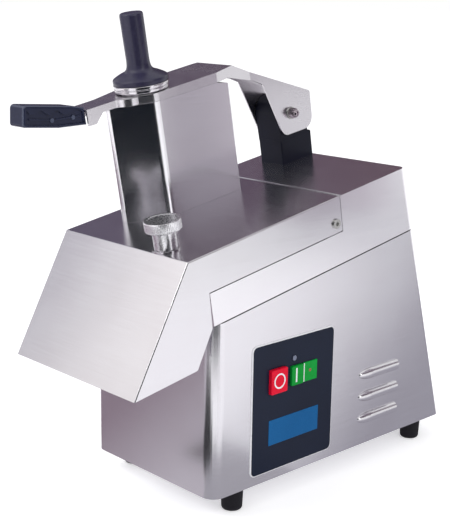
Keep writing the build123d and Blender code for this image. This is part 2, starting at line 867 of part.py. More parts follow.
# Grip: moulded handle on the tang, with a recessed and scalloped panel each side
grip_rear_u = arm_front_u - seam_gap
grip_side_points = [
    (-68.2, 184.2),
    (-73.7, 158.9),
    (-24.5, 146.1),
    (grip_rear_u, 140.0),
    (grip_rear_u, 161.3),
    (-0.9, 167.2),
]
grip_panel_low = [(12.5, 156.4), (12.5, 143.6), (-24.5, 149.4), (-69.1, 160.8), (-65.2, 178.3)]
grip_panel_scallops = [
    (-65.2, 178.3),
    (-55.6, 170.7),
    (-44.9, 172.5),
    (-36.1, 164.8),
    (-24.5, 167.5),
    (-14.8, 160.4),
    (-4.4, 161.5),
    (12.5, 156.4),
]
grip_rail_points = [(-63.5, 166.3), (-31.1, 157.1), (9.5, 152.6)]
grip_screw_places = [(u, tang_v(u) + tang_thickness / 2) for u in grip_screw_us]
with BuildPart() as grip:
    with BuildSketch(across(lever_x)) as grip_side:
        with BuildLine():
            Polyline(*grip_side_points, close=True)
        make_face()
        fillet(grip_side.vertices().sort_by_distance(grip_side_points[0])[0], 5)
        fillet(grip_side.vertices().sort_by_distance(grip_side_points[1])[0], 4)
    extrude(amount=grip_width / 2, both=True)
    fillet(grip.faces().filter_by(Axis.X).edges(), grip_edge_round)
    for side in (-1, 1):
        wall = across(lever_x + side * (grip_width / 2 - grip_recess))
        with BuildSketch(wall):
            with BuildLine():
                Polyline(*grip_panel_low)
                Spline(*grip_panel_scallops)
            make_face()
        extrude(amount=side * (grip_recess + 1), mode=Mode.SUBTRACT)
        rail_top = [(u, v + grip_rail / 2) for u, v in grip_rail_points]
        rail_low = [(u, v - grip_rail / 2) for u, v in reversed(grip_rail_points)]
        extrude(outline(wall, *rail_top, *rail_low), amount=side * (grip_recess - 0.8))
    slot_play = seam_gap / 3
    slot_front_u = tang_front_u - 1
    tang_slot = outline(
        across(lever_x),
        (arm_front_u, tang_v(arm_front_u) - slot_play),
        (arm_front_u, tang_v(arm_front_u) + tang_thickness + slot_play),
        (slot_front_u, tang_v(slot_front_u) + tang_thickness + slot_play),
        (slot_front_u, tang_v(slot_front_u) - slot_play),
    )
    extrude(tang_slot, amount=tang_width / 2 + slot_play, both=True, mode=Mode.SUBTRACT)
    for side in (-1, 1):
        wall = across(lever_x + side * (grip_width / 2 - grip_recess))
        with BuildSketch(wall):
            with Locations(*grip_screw_places):
                Circle(grip_screw_head + seam_gap)
        extrude(amount=side * (grip_recess + 1), mode=Mode.SUBTRACT)
        with BuildSketch(wall):
            with Locations(*grip_screw_places):
                Circle(grip_screw_radius)
        extrude(amount=-side * (grip_width / 2 - grip_recess), mode=Mode.SUBTRACT)
grip.part.label = "grip"
export_step(grip.part, "parts/grip.step")

# Grip screws, into both edges of the tang
with BuildPart() as grip_screws:
    for side in (-1, 1):
        wall = across(lever_x + side * (grip_width / 2 - grip_recess))
        with BuildSketch(wall):
            with Locations(*grip_screw_places):
                Circle(grip_screw_head)
        extrude(amount=side * 1.6)
        with BuildSketch(wall):
            with Locations(*grip_screw_places):
                Circle(grip_screw_radius)
        extrude(amount=-side * (grip_width / 2 - grip_recess - tang_width / 2))
grip_screws.part.label = "grip_screws"
export_step(grip_screws.part, "parts/grip_screws.step")

# Pusher: hollow block that follows the chute's inside, with room to swing
tube_radius = plunger_radius + plunger_play + tube_wall
chute_chamfer_reach = chute_rear - chute_chamfer - chute_left - hypot(chute_wall, chute_wall)
swing_reach = chute_chamfer_reach - pusher_swing


def swing_corner(plane, reach):
    # The rear corner that the pusher gives up, beyond the line u = x + reach.
    return outline(
        plane,
        (chute_left, chute_left + reach),
        (chute_left, chute_rear),
        (chute_rear - reach, chute_rear),
    )


with BuildPart() as pusher:
    extrude(chute_face(on_deck(pusher_bottom_v), chute_wall + pusher_inset), amount=chute_height)
    pusher_side = outline(
        across(0),
        (0, pusher_bottom_v),
        (pusher_rear_u, pusher_bottom_v),
        (pusher_rear_u, lid_top(pusher_rear_u) - lever_sheet),
        (0, lid_top(0) - lever_sheet),
    )
    extrude(pusher_side, amount=half_width, both=True, mode=Mode.INTERSECT)
    pusher_room = outline(
        across(0),
        (0, pusher_bottom_v + pusher_wall),
        (pusher_rear_u - pusher_wall, pusher_bottom_v + pusher_wall),
        (pusher_rear_u - pusher_wall, lid_top(pusher_rear_u) + 20),
        (0, lid_top(pusher_rear_u) + 20),
    )
    extrude(swing_corner(on_deck(pusher_bottom_v), swing_reach), amount=200, mode=Mode.SUBTRACT)
    with BuildPart(mode=Mode.PRIVATE) as hollow:
        extrude(chute_face(on_deck(pusher_bottom_v), chute_wall + pusher_inset + pusher_wall), amount=200)
        extrude(pusher_room, amount=half_width, both=True, mode=Mode.INTERSECT)
        inner_reach = swing_reach - hypot(pusher_wall, pusher_wall)
        extrude(swing_corner(on_deck(pusher_bottom_v), inner_reach), amount=200, mode=Mode.SUBTRACT)
    add(hollow.part, mode=Mode.SUBTRACT)
    with BuildSketch(on_deck(pusher_bottom_v, plunger_x, plunger_u)):
        Circle(tube_radius)
    extrude(amount=200, mode=Mode.SUBTRACT)
pusher.part.label = "pusher"
export_step(pusher.part, "parts/pusher.step")

# Plunger tube: thin tube through the lid and the pusher
bore_radius = plunger_radius + plunger_play
with BuildPart() as plunger_tube:
    with BuildSketch(on_deck(pusher_bottom_v, plunger_x, plunger_u)):
        Circle(tube_radius)
        Circle(bore_radius, mode=Mode.SUBTRACT)
    extrude(amount=collar_top_v - 1 - pusher_bottom_v)
plunger_tube.part.label = "plunger_tube"
export_step(plunger_tube.part, "parts/plunger_tube.step")

# Collar ring: turned and polished, in two steps with a groove between
collar_low_v = lid_top(plunger_u) + 0.9
groove_v = (collar_low_v + collar_top_v) / 2
with BuildPart() as collar_ring:
    ring_face = outline(
        turning(plunger_x, plunger_u),
        (tube_radius, collar_low_v),
        (collar_radius - 0.8, collar_low_v),
        (collar_radius - 0.8, groove_v - 0.8),
        (collar_radius - 1.8, groove_v - 0.4),
        (collar_radius - 1.8, groove_v + 0.4),
        (collar_radius, groove_v + 0.8),
        (collar_radius, collar_top_v - 0.8),
        (collar_radius - 0.8, collar_top_v),
        (bore_radius, collar_top_v),
        (bore_radius, collar_top_v - 1),
        (tube_radius, collar_top_v - 1),
    )
    revolve(ring_face, upright_axis(plunger_x, plunger_u))
collar_ring.part.label = "collar_ring"
export_step(collar_ring.part, "parts/collar_ring.step")

# Plunger: moulded shaft, dished cap and upright handle in one piece
cap_low_v = collar_top_v + 0.3
cap_edge = 6.0
flare_top_v = cap_low_v + 23
with BuildPart() as plunger:
    with BuildSketch(turning(plunger_x, plunger_u)) as plunger_side:
        with BuildLine():
            Polyline(
                (handle_radius, flare_top_v),
                (handle_radius + 0.3, handle_top_v),
                (0, handle_top_v),
                (0, pusher_bottom_v + 6),
                (plunger_radius - 2, pusher_bottom_v + 6),
                (plunger_radius, pusher_bottom_v + 8),
                (plunger_radius, cap_low_v),
                (collar_radius, cap_low_v),
                (collar_radius, cap_low_v + cap_edge),
            )
            Spline(
                (collar_radius, cap_low_v + cap_edge),
                (collar_radius - 9, cap_low_v + cap_edge + 5),
                (handle_radius, flare_top_v),
                tangents=((-1.2, 0.25), (0, 1)),
            )
        make_face()
        fillet(plunger_side.vertices().sort_by_distance((handle_radius + 0.3, handle_top_v))[0], 3)
        fillet(plunger_side.vertices().sort_by_distance((collar_radius, cap_low_v))[0], 1)
    revolve(axis=upright_axis(plunger_x, plunger_u))
plunger.part.label = "plunger"
export_step(plunger.part, "parts/plunger.step")

# Hinge pin with its threaded ends, washers and domed nuts
washer_lie = 1.6
nut_height = 7.0
pin_half = ear_span / 2
hinge_nut_across = 13.0
nut_dome_radius = 5.6
hinge_washer_radius = 8.5
with BuildPart() as hinge_pin:
    with BuildSketch(across(lever_x)):
        with Locations((pin_u, pin_v)):
            Circle(pin_radius)
    extrude(amount=pin_half, both=True)
    with BuildSketch(across(lever_x)):
        with Locations((pin_u, pin_v)):
            Circle(pin_radius - 2)
    extrude(amount=pin_half + washer_lie + nut_height, both=True)
hinge_pin.part.label = "hinge_pin"
export_step(hinge_pin.part, "parts/hinge_pin.step")

with BuildPart() as hinge_washers:
    for side in (-1, 1):
        with BuildSketch(across(lever_x + side * pin_half)):
            with Locations((pin_u, pin_v)):
                Circle(hinge_washer_radius)
                Circle(pin_radius - 2, mode=Mode.SUBTRACT)
        extrude(amount=side * washer_lie)
hinge_washers.part.label = "hinge_washers"
export_step(hinge_washers.part, "parts/hinge_washers.step")

with BuildPart() as hinge_nuts:
    for side in (-1, 1):
        seat = across(lever_x + side * (pin_half + washer_lie))
        with BuildSketch(seat):
            with Locations((pin_u, pin_v)):
                RegularPolygon(hinge_nut_across / 2, 6, major_radius=False)
        extrude(amount=side * nut_height)
        dome = on_deck(pin_v, lever_x + side * (pin_half + washer_lie + nut_height), pin_u)
        with BuildSketch(dome):
            Circle(nut_dome_radius)
            with Locations((-side * 10, 0)):
                Rectangle(20, 20, mode=Mode.SUBTRACT)
            Rectangle(30, 30, align=(Align.CENTER, Align.MAX), mode=Mode.SUBTRACT)
        revolve(axis=Axis(dome.origin, (1, 0, 0)))
        with BuildSketch(seat):
            with Locations((pin_u, pin_v)):
                Circle(pin_radius - 2)
        extrude(amount=side * nut_height, mode=Mode.SUBTRACT)
hinge_nuts.part.label = "hinge_nuts"
export_step(hinge_nuts.part, "parts/hinge_nuts.step")

# Clamp stud, washer and knob for the cover
knob_neck_low = washer_thickness + 0.3
stud_top_v = knob_neck_low + knob_neck_height - 2
with BuildPart() as clamp_stud:
    with BuildSketch(on_deck(pan_floor_v, knob_x, knob_u)):
        Circle(stud_radius)
    extrude(amount=stud_top_v - pan_floor_v)
    with BuildSketch(on_deck(pan_floor_v + pan_floor_thickness, knob_x, knob_u)):
        RegularPolygon(stud_nut_across / 2, 6, major_radius=False)
    extrude(amount=stud_nut_height)
clamp_stud.part.label = "clamp_stud"
export_step(clamp_stud.part, "parts/clamp_stud.step")

with BuildPart() as knob_washer:
    with BuildSketch(on_deck(0, knob_x, knob_u)):
        Circle(washer_radius)
        Circle(stud_radius + 0.5, mode=Mode.SUBTRACT)
    extrude(amount=washer_thickness)
    chamfer(knob_washer.faces().sort_by(SortBy.AREA)[-1].outer_wire().edges(), 0.4)
knob_washer.part.label = "knob_washer"
export_step(knob_washer.part, "parts/knob_washer.step")

with BuildPart() as clamp_knob:
    knob_head_low = knob_neck_low + knob_neck_height
    knob_top = knob_head_low + knob_head_height
    knob_face = outline(
        turning(knob_x, knob_u),
        (stud_radius + running_clearance, knob_neck_low),
        (knob_neck_radius, knob_neck_low),
        (knob_neck_radius, knob_head_low - 1),
        (knob_neck_radius + 1, knob_head_low),
        (knob_radius - 1.5, knob_head_low),
        (knob_radius, knob_head_low + 1.5),
        (knob_radius, knob_top - 1.5),
        (knob_radius - 1.5, knob_top),
        (0, knob_top),
        (0, knob_head_low - 1),
        (stud_radius + running_clearance, knob_head_low - 1),
    )
    revolve(knob_face, upright_axis(knob_x, knob_u))
clamp_knob.part.label = "clamp_knob"
export_step(clamp_knob.part, "parts/clamp_knob.step")

# Cover pivots: a lug on each side of the head wall and a socket screw through the skirt
lug_rear_u = cover_rear_u - sheet - seam_gap
with BuildPart() as pivot_lugs:
    for side in (-1, 1):
        with BuildSketch(across(side * (inner_half_width - seam_gap - pivot_lug_width / 2))):
            with Locations((lug_rear_u - pivot_lug_length / 2, head_front_v + pivot_lug_height / 2)):
                Rectangle(pivot_lug_length, pivot_lug_height)
            with Locations((cover_pivot_u, cover_pivot_v)):
                Circle(cover_pivot_radius - 0.5, mode=Mode.SUBTRACT)
        extrude(amount=pivot_lug_width / 2, both=True)
pivot_lugs.part.label = "pivot_lugs"
export_step(pivot_lugs.part, "parts/pivot_lugs.step")

cap_radius = 6.5
cap_height = 2.5
with BuildPart() as cover_pivot_screws:
    for side in (-1, 1):
        face_x = side * half_width
        with BuildSketch(across(face_x)):
            with Locations((cover_pivot_u, cover_pivot_v)):
                Circle(cap_radius)
                RegularPolygon(2.5, 6, major_radius=False, mode=Mode.SUBTRACT)
        extrude(amount=side * cap_height)
        with BuildSketch(across(face_x)):
            with Locations((cover_pivot_u, cover_pivot_v)):
                Circle(cover_pivot_radius)
        extrude(amount=-side * (sheet + seam_gap))
        with BuildSketch(across(face_x - side * (sheet + seam_gap))):
            with Locations((cover_pivot_u, cover_pivot_v)):
                Circle(cover_pivot_radius - 0.5)
        extrude(amount=-side * pivot_lug_width)
cover_pivot_screws.part.label = "cover_pivot_screws"
export_step(cover_pivot_screws.part, "parts/cover_pivot_screws.step")

# Slicing disc with a slot under each blade edge
blade_inner = 24.0
blade_overhang = 4.0
blade_mid_y = blade_offset - blade_width / 2
blade_screw_radius = 2.0
blade_screw_head = 3.4
blade_screw_places = [
    (blade_inner + x, blade_offset - blade_width + blade_screw_head + 1) for x in blade_screw_steps
]
disc_low_v = disc_top_v - disc_thickness
slot_middle = blade_offset - blade_overhang + blade_slot / 2
with BuildPart() as slicing_disc:
    with BuildSketch(on_deck(disc_low_v, 0, spindle_u)):
        Circle(disc_radius)
        with PolarLocations(0, blade_count):
            with Locations((blade_inner + blade_length / 2, slot_middle)):
                Rectangle(blade_length - 6, blade_slot, mode=Mode.SUBTRACT)
            with Locations(*blade_screw_places):
                Circle(blade_screw_radius, mode=Mode.SUBTRACT)
    extrude(amount=disc_thickness)
slicing_disc.part.label = "slicing_disc"
export_step(slicing_disc.part, "parts/slicing_disc.step")

# Blades, standing just over the disc with their edges across the slots
with BuildPart() as disc_blades:
    with BuildSketch(on_deck(disc_top_v, 0, spindle_u)):
        with PolarLocations(0, blade_count):
            with Locations((blade_inner + blade_length / 2, blade_mid_y)):
                Rectangle(blade_length, blade_width)
            with Locations(*blade_screw_places):
                Circle(blade_screw_radius, mode=Mode.SUBTRACT)
    extrude(amount=blade_thickness)
disc_blades.part.label = "disc_blades"
export_step(disc_blades.part, "parts/disc_blades.step")

with BuildPart() as blade_screws:
    with BuildSketch(on_deck(disc_low_v, 0, spindle_u)):
        with PolarLocations(0, blade_count):
            with Locations(*blade_screw_places):
                Circle(blade_screw_radius)
    extrude(amount=disc_thickness + blade_thickness)
    with BuildSketch(on_deck(disc_top_v + blade_thickness, 0, spindle_u)):
        with PolarLocations(0, blade_count):
            with Locations(*blade_screw_places):
                Circle(blade_screw_head)
    extrude(amount=1)
blade_screws.part.label = "blade_screws"
export_step(blade_screws.part, "parts/blade_screws.step")

# Spindle: disc hub, ejector, shaft, cross pin and driven pulley
hub_outer_radius = 22.0
hub_low_v = -30.0
cross_pin_radius = 2.5
cross_pin_v = -24.0
shaft_low_v = plate_top_v - plate_thickness - housing_depth
with BuildPart() as disc_hub:
    with BuildSketch(on_deck(hub_low_v, 0, spindle_u)):
        Circle(hub_outer_radius)
        Circle(shaft_radius + running_clearance, mode=Mode.SUBTRACT)
    extrude(amount=disc_low_v - hub_low_v)
    with BuildSketch(across(0)):
        with Locations((spindle_u, cross_pin_v)):
            Circle(cross_pin_radius)
    extrude(amount=hub_outer_radius, both=True, mode=Mode.SUBTRACT)
disc_hub.part.label = "disc_hub"
export_step(disc_hub.part, "parts/disc_hub.step")

ejector_radius = 98.0
ejector_low_v = -48.0
ejector_thickness = 3.0
ejector_hub_radius = 16.0
paddle_count = 4
paddle_height = 9.0
paddle_thickness = 3.0
with BuildPart() as ejector:
    with BuildSketch(on_deck(ejector_low_v, 0, spindle_u)):
        Circle(ejector_radius)
    extrude(amount=ejector_thickness)
    with BuildSketch(on_deck(ejector_low_v, 0, spindle_u)):
        Circle(ejector_hub_radius)
    extrude(amount=hub_low_v - ejector_low_v)
    with BuildSketch(on_deck(ejector_low_v + ejector_thickness, 0, spindle_u)):
        with PolarLocations(0, paddle_count):
            with Locations((ejector_radius / 2, 0)):
                Rectangle(ejector_radius, paddle_thickness)
    extrude(amount=paddle_height)
    with BuildSketch(on_deck(ejector_low_v, 0, spindle_u)):
        Circle(shaft_radius + running_clearance)
    extrude(amount=hub_low_v - ejector_low_v, mode=Mode.SUBTRACT)
    with BuildSketch(on_deck(ejector_low_v, 0, spindle_u)):
        Circle(2 * ejector_radius)
        Circle(ejector_radius, mode=Mode.SUBTRACT)
    extrude(amount=hub_low_v - ejector_low_v, mode=Mode.SUBTRACT)
ejector.part.label = "ejector"
export_step(ejector.part, "parts/ejector.step")

with BuildPart() as drive_shaft:
    with BuildSketch(on_deck(shaft_low_v, 0, spindle_u)):
        Circle(shaft_radius)
    extrude(amount=disc_low_v - seam_gap - shaft_low_v)
    with BuildSketch(across(0)):
        with Locations((spindle_u, cross_pin_v)):
            Circle(cross_pin_radius)
    extrude(amount=hub_outer_radius, both=True, mode=Mode.SUBTRACT)
drive_shaft.part.label = "drive_shaft"
export_step(drive_shaft.part, "parts/drive_shaft.step")

with BuildPart() as drive_pin:
    with BuildSketch(across(0)):
        with Locations((spindle_u, cross_pin_v)):
            Circle(cross_pin_radius)
    extrude(amount=hub_outer_radius, both=True)
drive_pin.part.label = "drive_pin"
export_step(drive_pin.part, "parts/drive_pin.step")

pulley_low_v = pulley_top_v - pulley_height
rim_inner_radius = driven_radius - 9
pulley_hub_radius = 18.0
pulley_web = 6.0
pulley_mid_v = pulley_top_v - pulley_height / 2
with BuildPart() as driven_pulley:
    pulley_face = outline(
        turning(0, spindle_u),
        (shaft_radius + running_clearance, pulley_low_v),
        (pulley_hub_radius, pulley_low_v),
        (pulley_hub_radius, pulley_mid_v - pulley_web / 2),
        (rim_inner_radius, pulley_mid_v - pulley_web / 2),
        (rim_inner_radius, pulley_low_v),
        (driven_radius, pulley_low_v),
        (driven_radius, pulley_top_v),
        (rim_inner_radius, pulley_top_v),
        (rim_inner_radius, pulley_mid_v + pulley_web / 2),
        (pulley_hub_radius, pulley_mid_v + pulley_web / 2),
        (pulley_hub_radius, pulley_top_v),
        (shaft_radius + running_clearance, pulley_top_v),
    )
    revolve(pulley_face, upright_axis(0, spindle_u))
driven_pulley.part.label = "driven_pulley"
export_step(driven_pulley.part, "parts/driven_pulley.step")

# Shaft seal in the pan's hub
with BuildPart() as shaft_seal:
    with BuildSketch(on_deck(pan_floor_v, 0, spindle_u)):
        Circle(seal_radius)
        Circle(shaft_radius + running_clearance, mode=Mode.SUBTRACT)
    extrude(amount=pan_floor_thickness + hub_rise)
shaft_seal.part.label = "shaft_seal"
export_step(shaft_seal.part, "parts/shaft_seal.step")

# Pillars that carry the disc pan on the motor plate
pillar_radius = 8.0
pillar_x = 95.0
pillar_places = [(side * pillar_x, u) for side in (-1, 1) for u in (45, 240)]
with BuildPart() as pan_pillars:
    for x, u in pillar_places:
        with BuildSketch(on_deck(plate_top_v, x, u)):
            Circle(pillar_radius)
        extrude(amount=pan_floor_v - plate_top_v)
pan_pillars.part.label = "pan_pillars"
export_step(pan_pillars.part, "parts/pan_pillars.step")

# Motor plate across the top of the base
plate_low_v = plate_top_v - plate_thickness
plate_fit = sheet + 0.5
motor_bolt_circle = 54.0
motor_bolt_radius = 2.5
motor_bolt_count = 4
with BuildPart() as motor_plate:
    motor_plate_side = outline(
        across(0),
        (front_wall_u(plate_top_v) + plate_fit, plate_top_v),
        (rear_u(plate_top_v) - plate_fit, plate_top_v),
        (rear_u(plate_low_v) - plate_fit, plate_low_v),
        (front_wall_u(plate_low_v) + plate_fit, plate_low_v),
    )
    extrude(motor_plate_side, amount=inner_half_width - seam_gap, both=True)
    plate_ends = motor_plate.faces().sort_by(Axis.Y)
    fillet(plate_ends[0].edges().filter_by(Axis.X, reverse=True), front_corner_radius)
    plate_rear = motor_plate.faces().sort_by(Axis.Y)[-1]
    fillet(plate_rear.edges().filter_by(Axis.X, reverse=True), rear_corner_radius)
    with BuildSketch(on_deck(plate_low_v)):
        with Locations((0, spindle_u)):
            Circle(bearing_radius - 4)
        with Locations((0, motor_u)):
            Circle(motor_pulley_radius)
        with Locations((0, motor_u)):
            with PolarLocations(motor_bolt_circle, motor_bolt_count, motor_bolt_turn):
                Circle(motor_bolt_radius)
    extrude(amount=plate_thickness, mode=Mode.SUBTRACT)
motor_plate.part.label = "motor_plate"
export_step(motor_plate.part, "parts/motor_plate.step")

# Bearing housing under the plate, with a bearing at each end
housing_low_v = plate_low_v - housing_depth
with BuildPart() as bearing_housing:
    housing_face = outline(
        turning(0, spindle_u),
        (bearing_radius, plate_low_v),
        (housing_radius + 10, plate_low_v),
        (housing_radius + 10, plate_low_v - 6),
        (housing_radius, plate_low_v - 6),
        (housing_radius, housing_low_v),
        (bearing_radius, housing_low_v),
        (bearing_radius, housing_low_v + bearing_width),
        (bearing_radius - 4, housing_low_v + bearing_width),
        (bearing_radius - 4, plate_low_v - bearing_width),
        (bearing_radius, plate_low_v - bearing_width),
    )
    revolve(housing_face, upright_axis(0, spindle_u))
bearing_housing.part.label = "bearing_housing"
export_step(bearing_housing.part, "parts/bearing_housing.step")

with BuildPart() as spindle_bearings:
    for low_v in (housing_low_v, plate_low_v - bearing_width):
        with BuildSketch(on_deck(low_v, 0, spindle_u)):
            Circle(bearing_radius)
            Circle(shaft_radius + running_clearance, mode=Mode.SUBTRACT)
        extrude(amount=bearing_width)
spindle_bearings.part.label = "spindle_bearings"
export_step(spindle_bearings.part, "parts/spindle_bearings.step")

# Flat belt and the motor's pulley
belt_run = motor_u - spindle_u
with BuildPart() as drive_belt:
    with BuildSketch(on_deck(pulley_mid_v - belt_width / 2, 0, spindle_u)):
        Circle(driven_radius + belt_clearance + belt_thickness)
        with Locations((0, belt_run)):
            Circle(motor_pulley_radius + belt_clearance + belt_thickness)
        make_hull()
    extrude(amount=belt_width)
    with BuildSketch(on_deck(pulley_mid_v - belt_width / 2, 0, spindle_u)):
        Circle(driven_radius + belt_clearance)
        with Locations((0, belt_run)):
            Circle(motor_pulley_radius + belt_clearance)
        make_hull()
    extrude(amount=belt_width, mode=Mode.SUBTRACT)
drive_belt.part.label = "drive_belt"
export_step(drive_belt.part, "parts/drive_belt.step")

with BuildPart() as motor_pulley:
    with BuildSketch(on_deck(pulley_low_v, 0, motor_u)):
        Circle(motor_pulley_radius)
        Circle(motor_shaft_radius, mode=Mode.SUBTRACT)
    extrude(amount=pulley_height)
motor_pulley.part.label = "motor_pulley"
export_step(motor_pulley.part, "parts/motor_pulley.step")

# Motor: rotor, cooling fan, stator, two end bells, bearings and fan cover
bell_low_v = motor_body_bottom_v - motor_bell
rotor_gap = 4.0
fan_plate_v = bell_low_v - 6
fan_radius = 50.0
fan_blade_depth = 13.0
fan_blade_count = 8
motor_bearing_radius = 17.0
with BuildPart() as motor_rotor:
    with BuildSketch(on_deck(motor_body_bottom_v + rotor_gap, 0, motor_u)):
        Circle(rotor_radius)
    extrude(amount=motor_body_top_v - motor_body_bottom_v - 2 * rotor_gap)
    with BuildSketch(on_deck(fan_plate_v - fan_blade_depth, 0, motor_u)):
        Circle(motor_shaft_radius)
    extrude(amount=pulley_top_v + 1 - fan_plate_v + fan_blade_depth)
motor_rotor.part.label = "motor_rotor"
export_step(motor_rotor.part, "parts/motor_rotor.step")

with BuildPart() as motor_fan:
    with BuildSketch(on_deck(fan_plate_v, 0, motor_u)):
        Circle(fan_radius)
    extrude(amount=2)
    with BuildSketch(on_deck(fan_plate_v - fan_blade_depth, 0, motor_u)):
        Circle(motor_pulley_radius)
        with PolarLocations(0, fan_blade_count):
            with Locations((fan_radius / 2, 0)):
                Rectangle(fan_radius - 2, 2)
    extrude(amount=fan_blade_depth)
    with BuildSketch(on_deck(fan_plate_v - fan_blade_depth, 0, motor_u)):
        Circle(motor_shaft_radius)
    extrude(amount=fan_blade_depth + 2, mode=Mode.SUBTRACT)
motor_fan.part.label = "motor_fan"
export_step(motor_fan.part, "parts/motor_fan.step")


def bolt_holes(low_v, depth):
    # The four places where the motor's long bolts pass.
    with BuildPart() as holes:
        with BuildSketch(on_deck(low_v, 0, motor_u)):
            with PolarLocations(motor_bolt_circle, motor_bolt_count, motor_bolt_turn):
                Circle(motor_bolt_radius)
        extrude(amount=depth)
    return holes.part


with BuildPart() as motor_stator:
    with BuildSketch(on_deck(motor_body_bottom_v, 0, motor_u)):
        Circle(motor_radius)
        Circle(rotor_radius + air_gap, mode=Mode.SUBTRACT)
    extrude(amount=motor_body_top_v - motor_body_bottom_v)
    add(bolt_holes(motor_body_bottom_v, motor_body_top_v - motor_body_bottom_v), mode=Mode.SUBTRACT)
motor_stator.part.label = "motor_stator"
export_step(motor_stator.part, "parts/motor_stator.step")

bell_lip_radius = 10.0
with BuildPart() as motor_bells:
    for near_v, far_v, shoulder in (
        (motor_body_top_v, plate_low_v, bearing_width),
        (motor_body_bottom_v, bell_low_v, -bearing_width),
    ):
        bell_face = outline(
            turning(0, motor_u),
            (motor_bearing_radius, near_v),
            (motor_radius, near_v),
            (motor_radius, far_v),
            (bell_lip_radius, far_v),
            (bell_lip_radius, near_v + shoulder),
            (motor_bearing_radius, near_v + shoulder),
        )
        revolve(bell_face, upright_axis(0, motor_u))
        add(bolt_holes(min(near_v, far_v), abs(far_v - near_v)), mode=Mode.SUBTRACT)
motor_bells.part.label = "motor_bells"
export_step(motor_bells.part, "parts/motor_bells.step")

with BuildPart() as motor_bearings:
    for low_v in (motor_body_top_v, motor_body_bottom_v - bearing_width):
        with BuildSketch(on_deck(low_v, 0, motor_u)):
            Circle(motor_bearing_radius)
            Circle(motor_shaft_radius + running_clearance, mode=Mode.SUBTRACT)
        extrude(amount=bearing_width)
motor_bearings.part.label = "motor_bearings"
export_step(motor_bearings.part, "parts/motor_bearings.step")

with BuildPart() as motor_bolts:
    add(bolt_holes(bell_low_v, plate_top_v - 1 - bell_low_v))
    with BuildSketch(on_deck(bell_low_v - 3, 0, motor_u)):
        with PolarLocations(motor_bolt_circle, motor_bolt_count, motor_bolt_turn):
            RegularPolygon(2 * motor_bolt_radius - 0.8, 6, major_radius=False)
    extrude(amount=3)
motor_bolts.part.label = "motor_bolts"
export_step(motor_bolts.part, "parts/motor_bolts.step")

vent_count = 12
with BuildPart() as fan_cover:
    with BuildSketch(on_deck(bell_low_v - fan_cover_drop, 0, motor_u)):
        Circle(motor_radius)
    extrude(amount=fan_cover_drop)
    with BuildSketch(on_deck(bell_low_v - fan_cover_drop + sheet, 0, motor_u)):
        Circle(motor_radius - sheet)
    extrude(amount=fan_cover_drop, mode=Mode.SUBTRACT)
    with BuildSketch(on_deck(bell_low_v - fan_cover_drop, 0, motor_u)):
        with PolarLocations(vent_circle, vent_count):
            SlotOverall(vent_length, vent_width)
    extrude(amount=sheet, mode=Mode.SUBTRACT)
fan_cover.part.label = "fan_cover"
export_step(fan_cover.part, "parts/fan_cover.step")

# Run capacitor, upright on the bottom plate
capacitor_radius = 17.5
capacitor_height = 80.0
with BuildPart() as capacitor:
    with BuildSketch(Plane.XY.offset(foot_height + bottom_thickness)):
        with Locations((-capacitor_reach, -capacitor_reach)):
            Circle(capacitor_radius)
    extrude(amount=capacitor_height)
    fillet(capacitor.faces().sort_by(Axis.Z)[-1].edges(), 2)
capacitor.part.label = "capacitor"
export_step(capacitor.part, "parts/capacitor.step")

# Control panel, its screw, two push buttons and a pilot lamp
button_back_x = half_width + panel_thickness - button_depth
lamp_proud = 1.8
stop_place = (stop_y, switch_z)
start_place = (start_y, switch_z)
lamp_place = (lamp_y, switch_z)
with BuildPart() as control_panel:
    with BuildSketch(Plane.YZ.offset(half_width)) as panel_face:
        with Locations((panel_y, panel_z)):
            RectangleRounded(panel_length, panel_height, panel_corner)
        with Locations(stop_place):
            Rectangle(stop_length + 2 * button_gap, stop_height + 2 * button_gap, mode=Mode.SUBTRACT)
        with Locations(start_place):
            Rectangle(start_length + 2 * button_gap, start_height + 2 * button_gap, mode=Mode.SUBTRACT)
        with Locations(lamp_place):
            Rectangle(lamp_length, start_height, mode=Mode.SUBTRACT)
        with Locations((panel_screw_y, panel_screw_z)):
            Circle(panel_screw_radius, mode=Mode.SUBTRACT)
    extrude(amount=panel_thickness)
    chamfer(control_panel.faces().sort_by(Axis.X)[-1].outer_wire().edges(), 0.4)
control_panel.part.label = "control_panel"
export_step(control_panel.part, "parts/control_panel.step")

with BuildPart() as panel_screw:
    with BuildSketch(Plane.YZ.offset(half_width - 2 * sheet)):
        with Locations((panel_screw_y, panel_screw_z)):
            Circle(panel_screw_radius)
    extrude(amount=2 * sheet + panel_thickness)
    with BuildSketch(Plane.YZ.offset(half_width + panel_thickness)):
        with Locations((panel_screw_y, panel_screw_z)):
            Circle(3.6)
    extrude(amount=1.4)
    fillet(panel_screw.faces().sort_by(Axis.X)[-1].edges(), 0.6)
panel_screw.part.label = "panel_screw"
export_step(panel_screw.part, "parts/panel_screw.step")

with BuildPart() as stop_button:
    with BuildSketch(Plane.YZ.offset(button_back_x)):
        with Locations(stop_place):
            RectangleRounded(stop_length, stop_height, 2)
    extrude(amount=button_depth + stop_proud)
    fillet(stop_button.faces().sort_by(Axis.X)[-1].edges(), 1)
stop_button.part.label = "stop_button"
export_step(stop_button.part, "parts/stop_button.step")

with BuildPart() as start_button:
    with BuildSketch(Plane.YZ.offset(button_back_x)):
        with Locations(start_place):
            RectangleRounded(start_length, start_height, 2)
    extrude(amount=button_depth + start_proud)
    fillet(start_button.faces().sort_by(Axis.X)[-1].edges(), 1)
start_button.part.label = "start_button"
export_step(start_button.part, "parts/start_button.step")

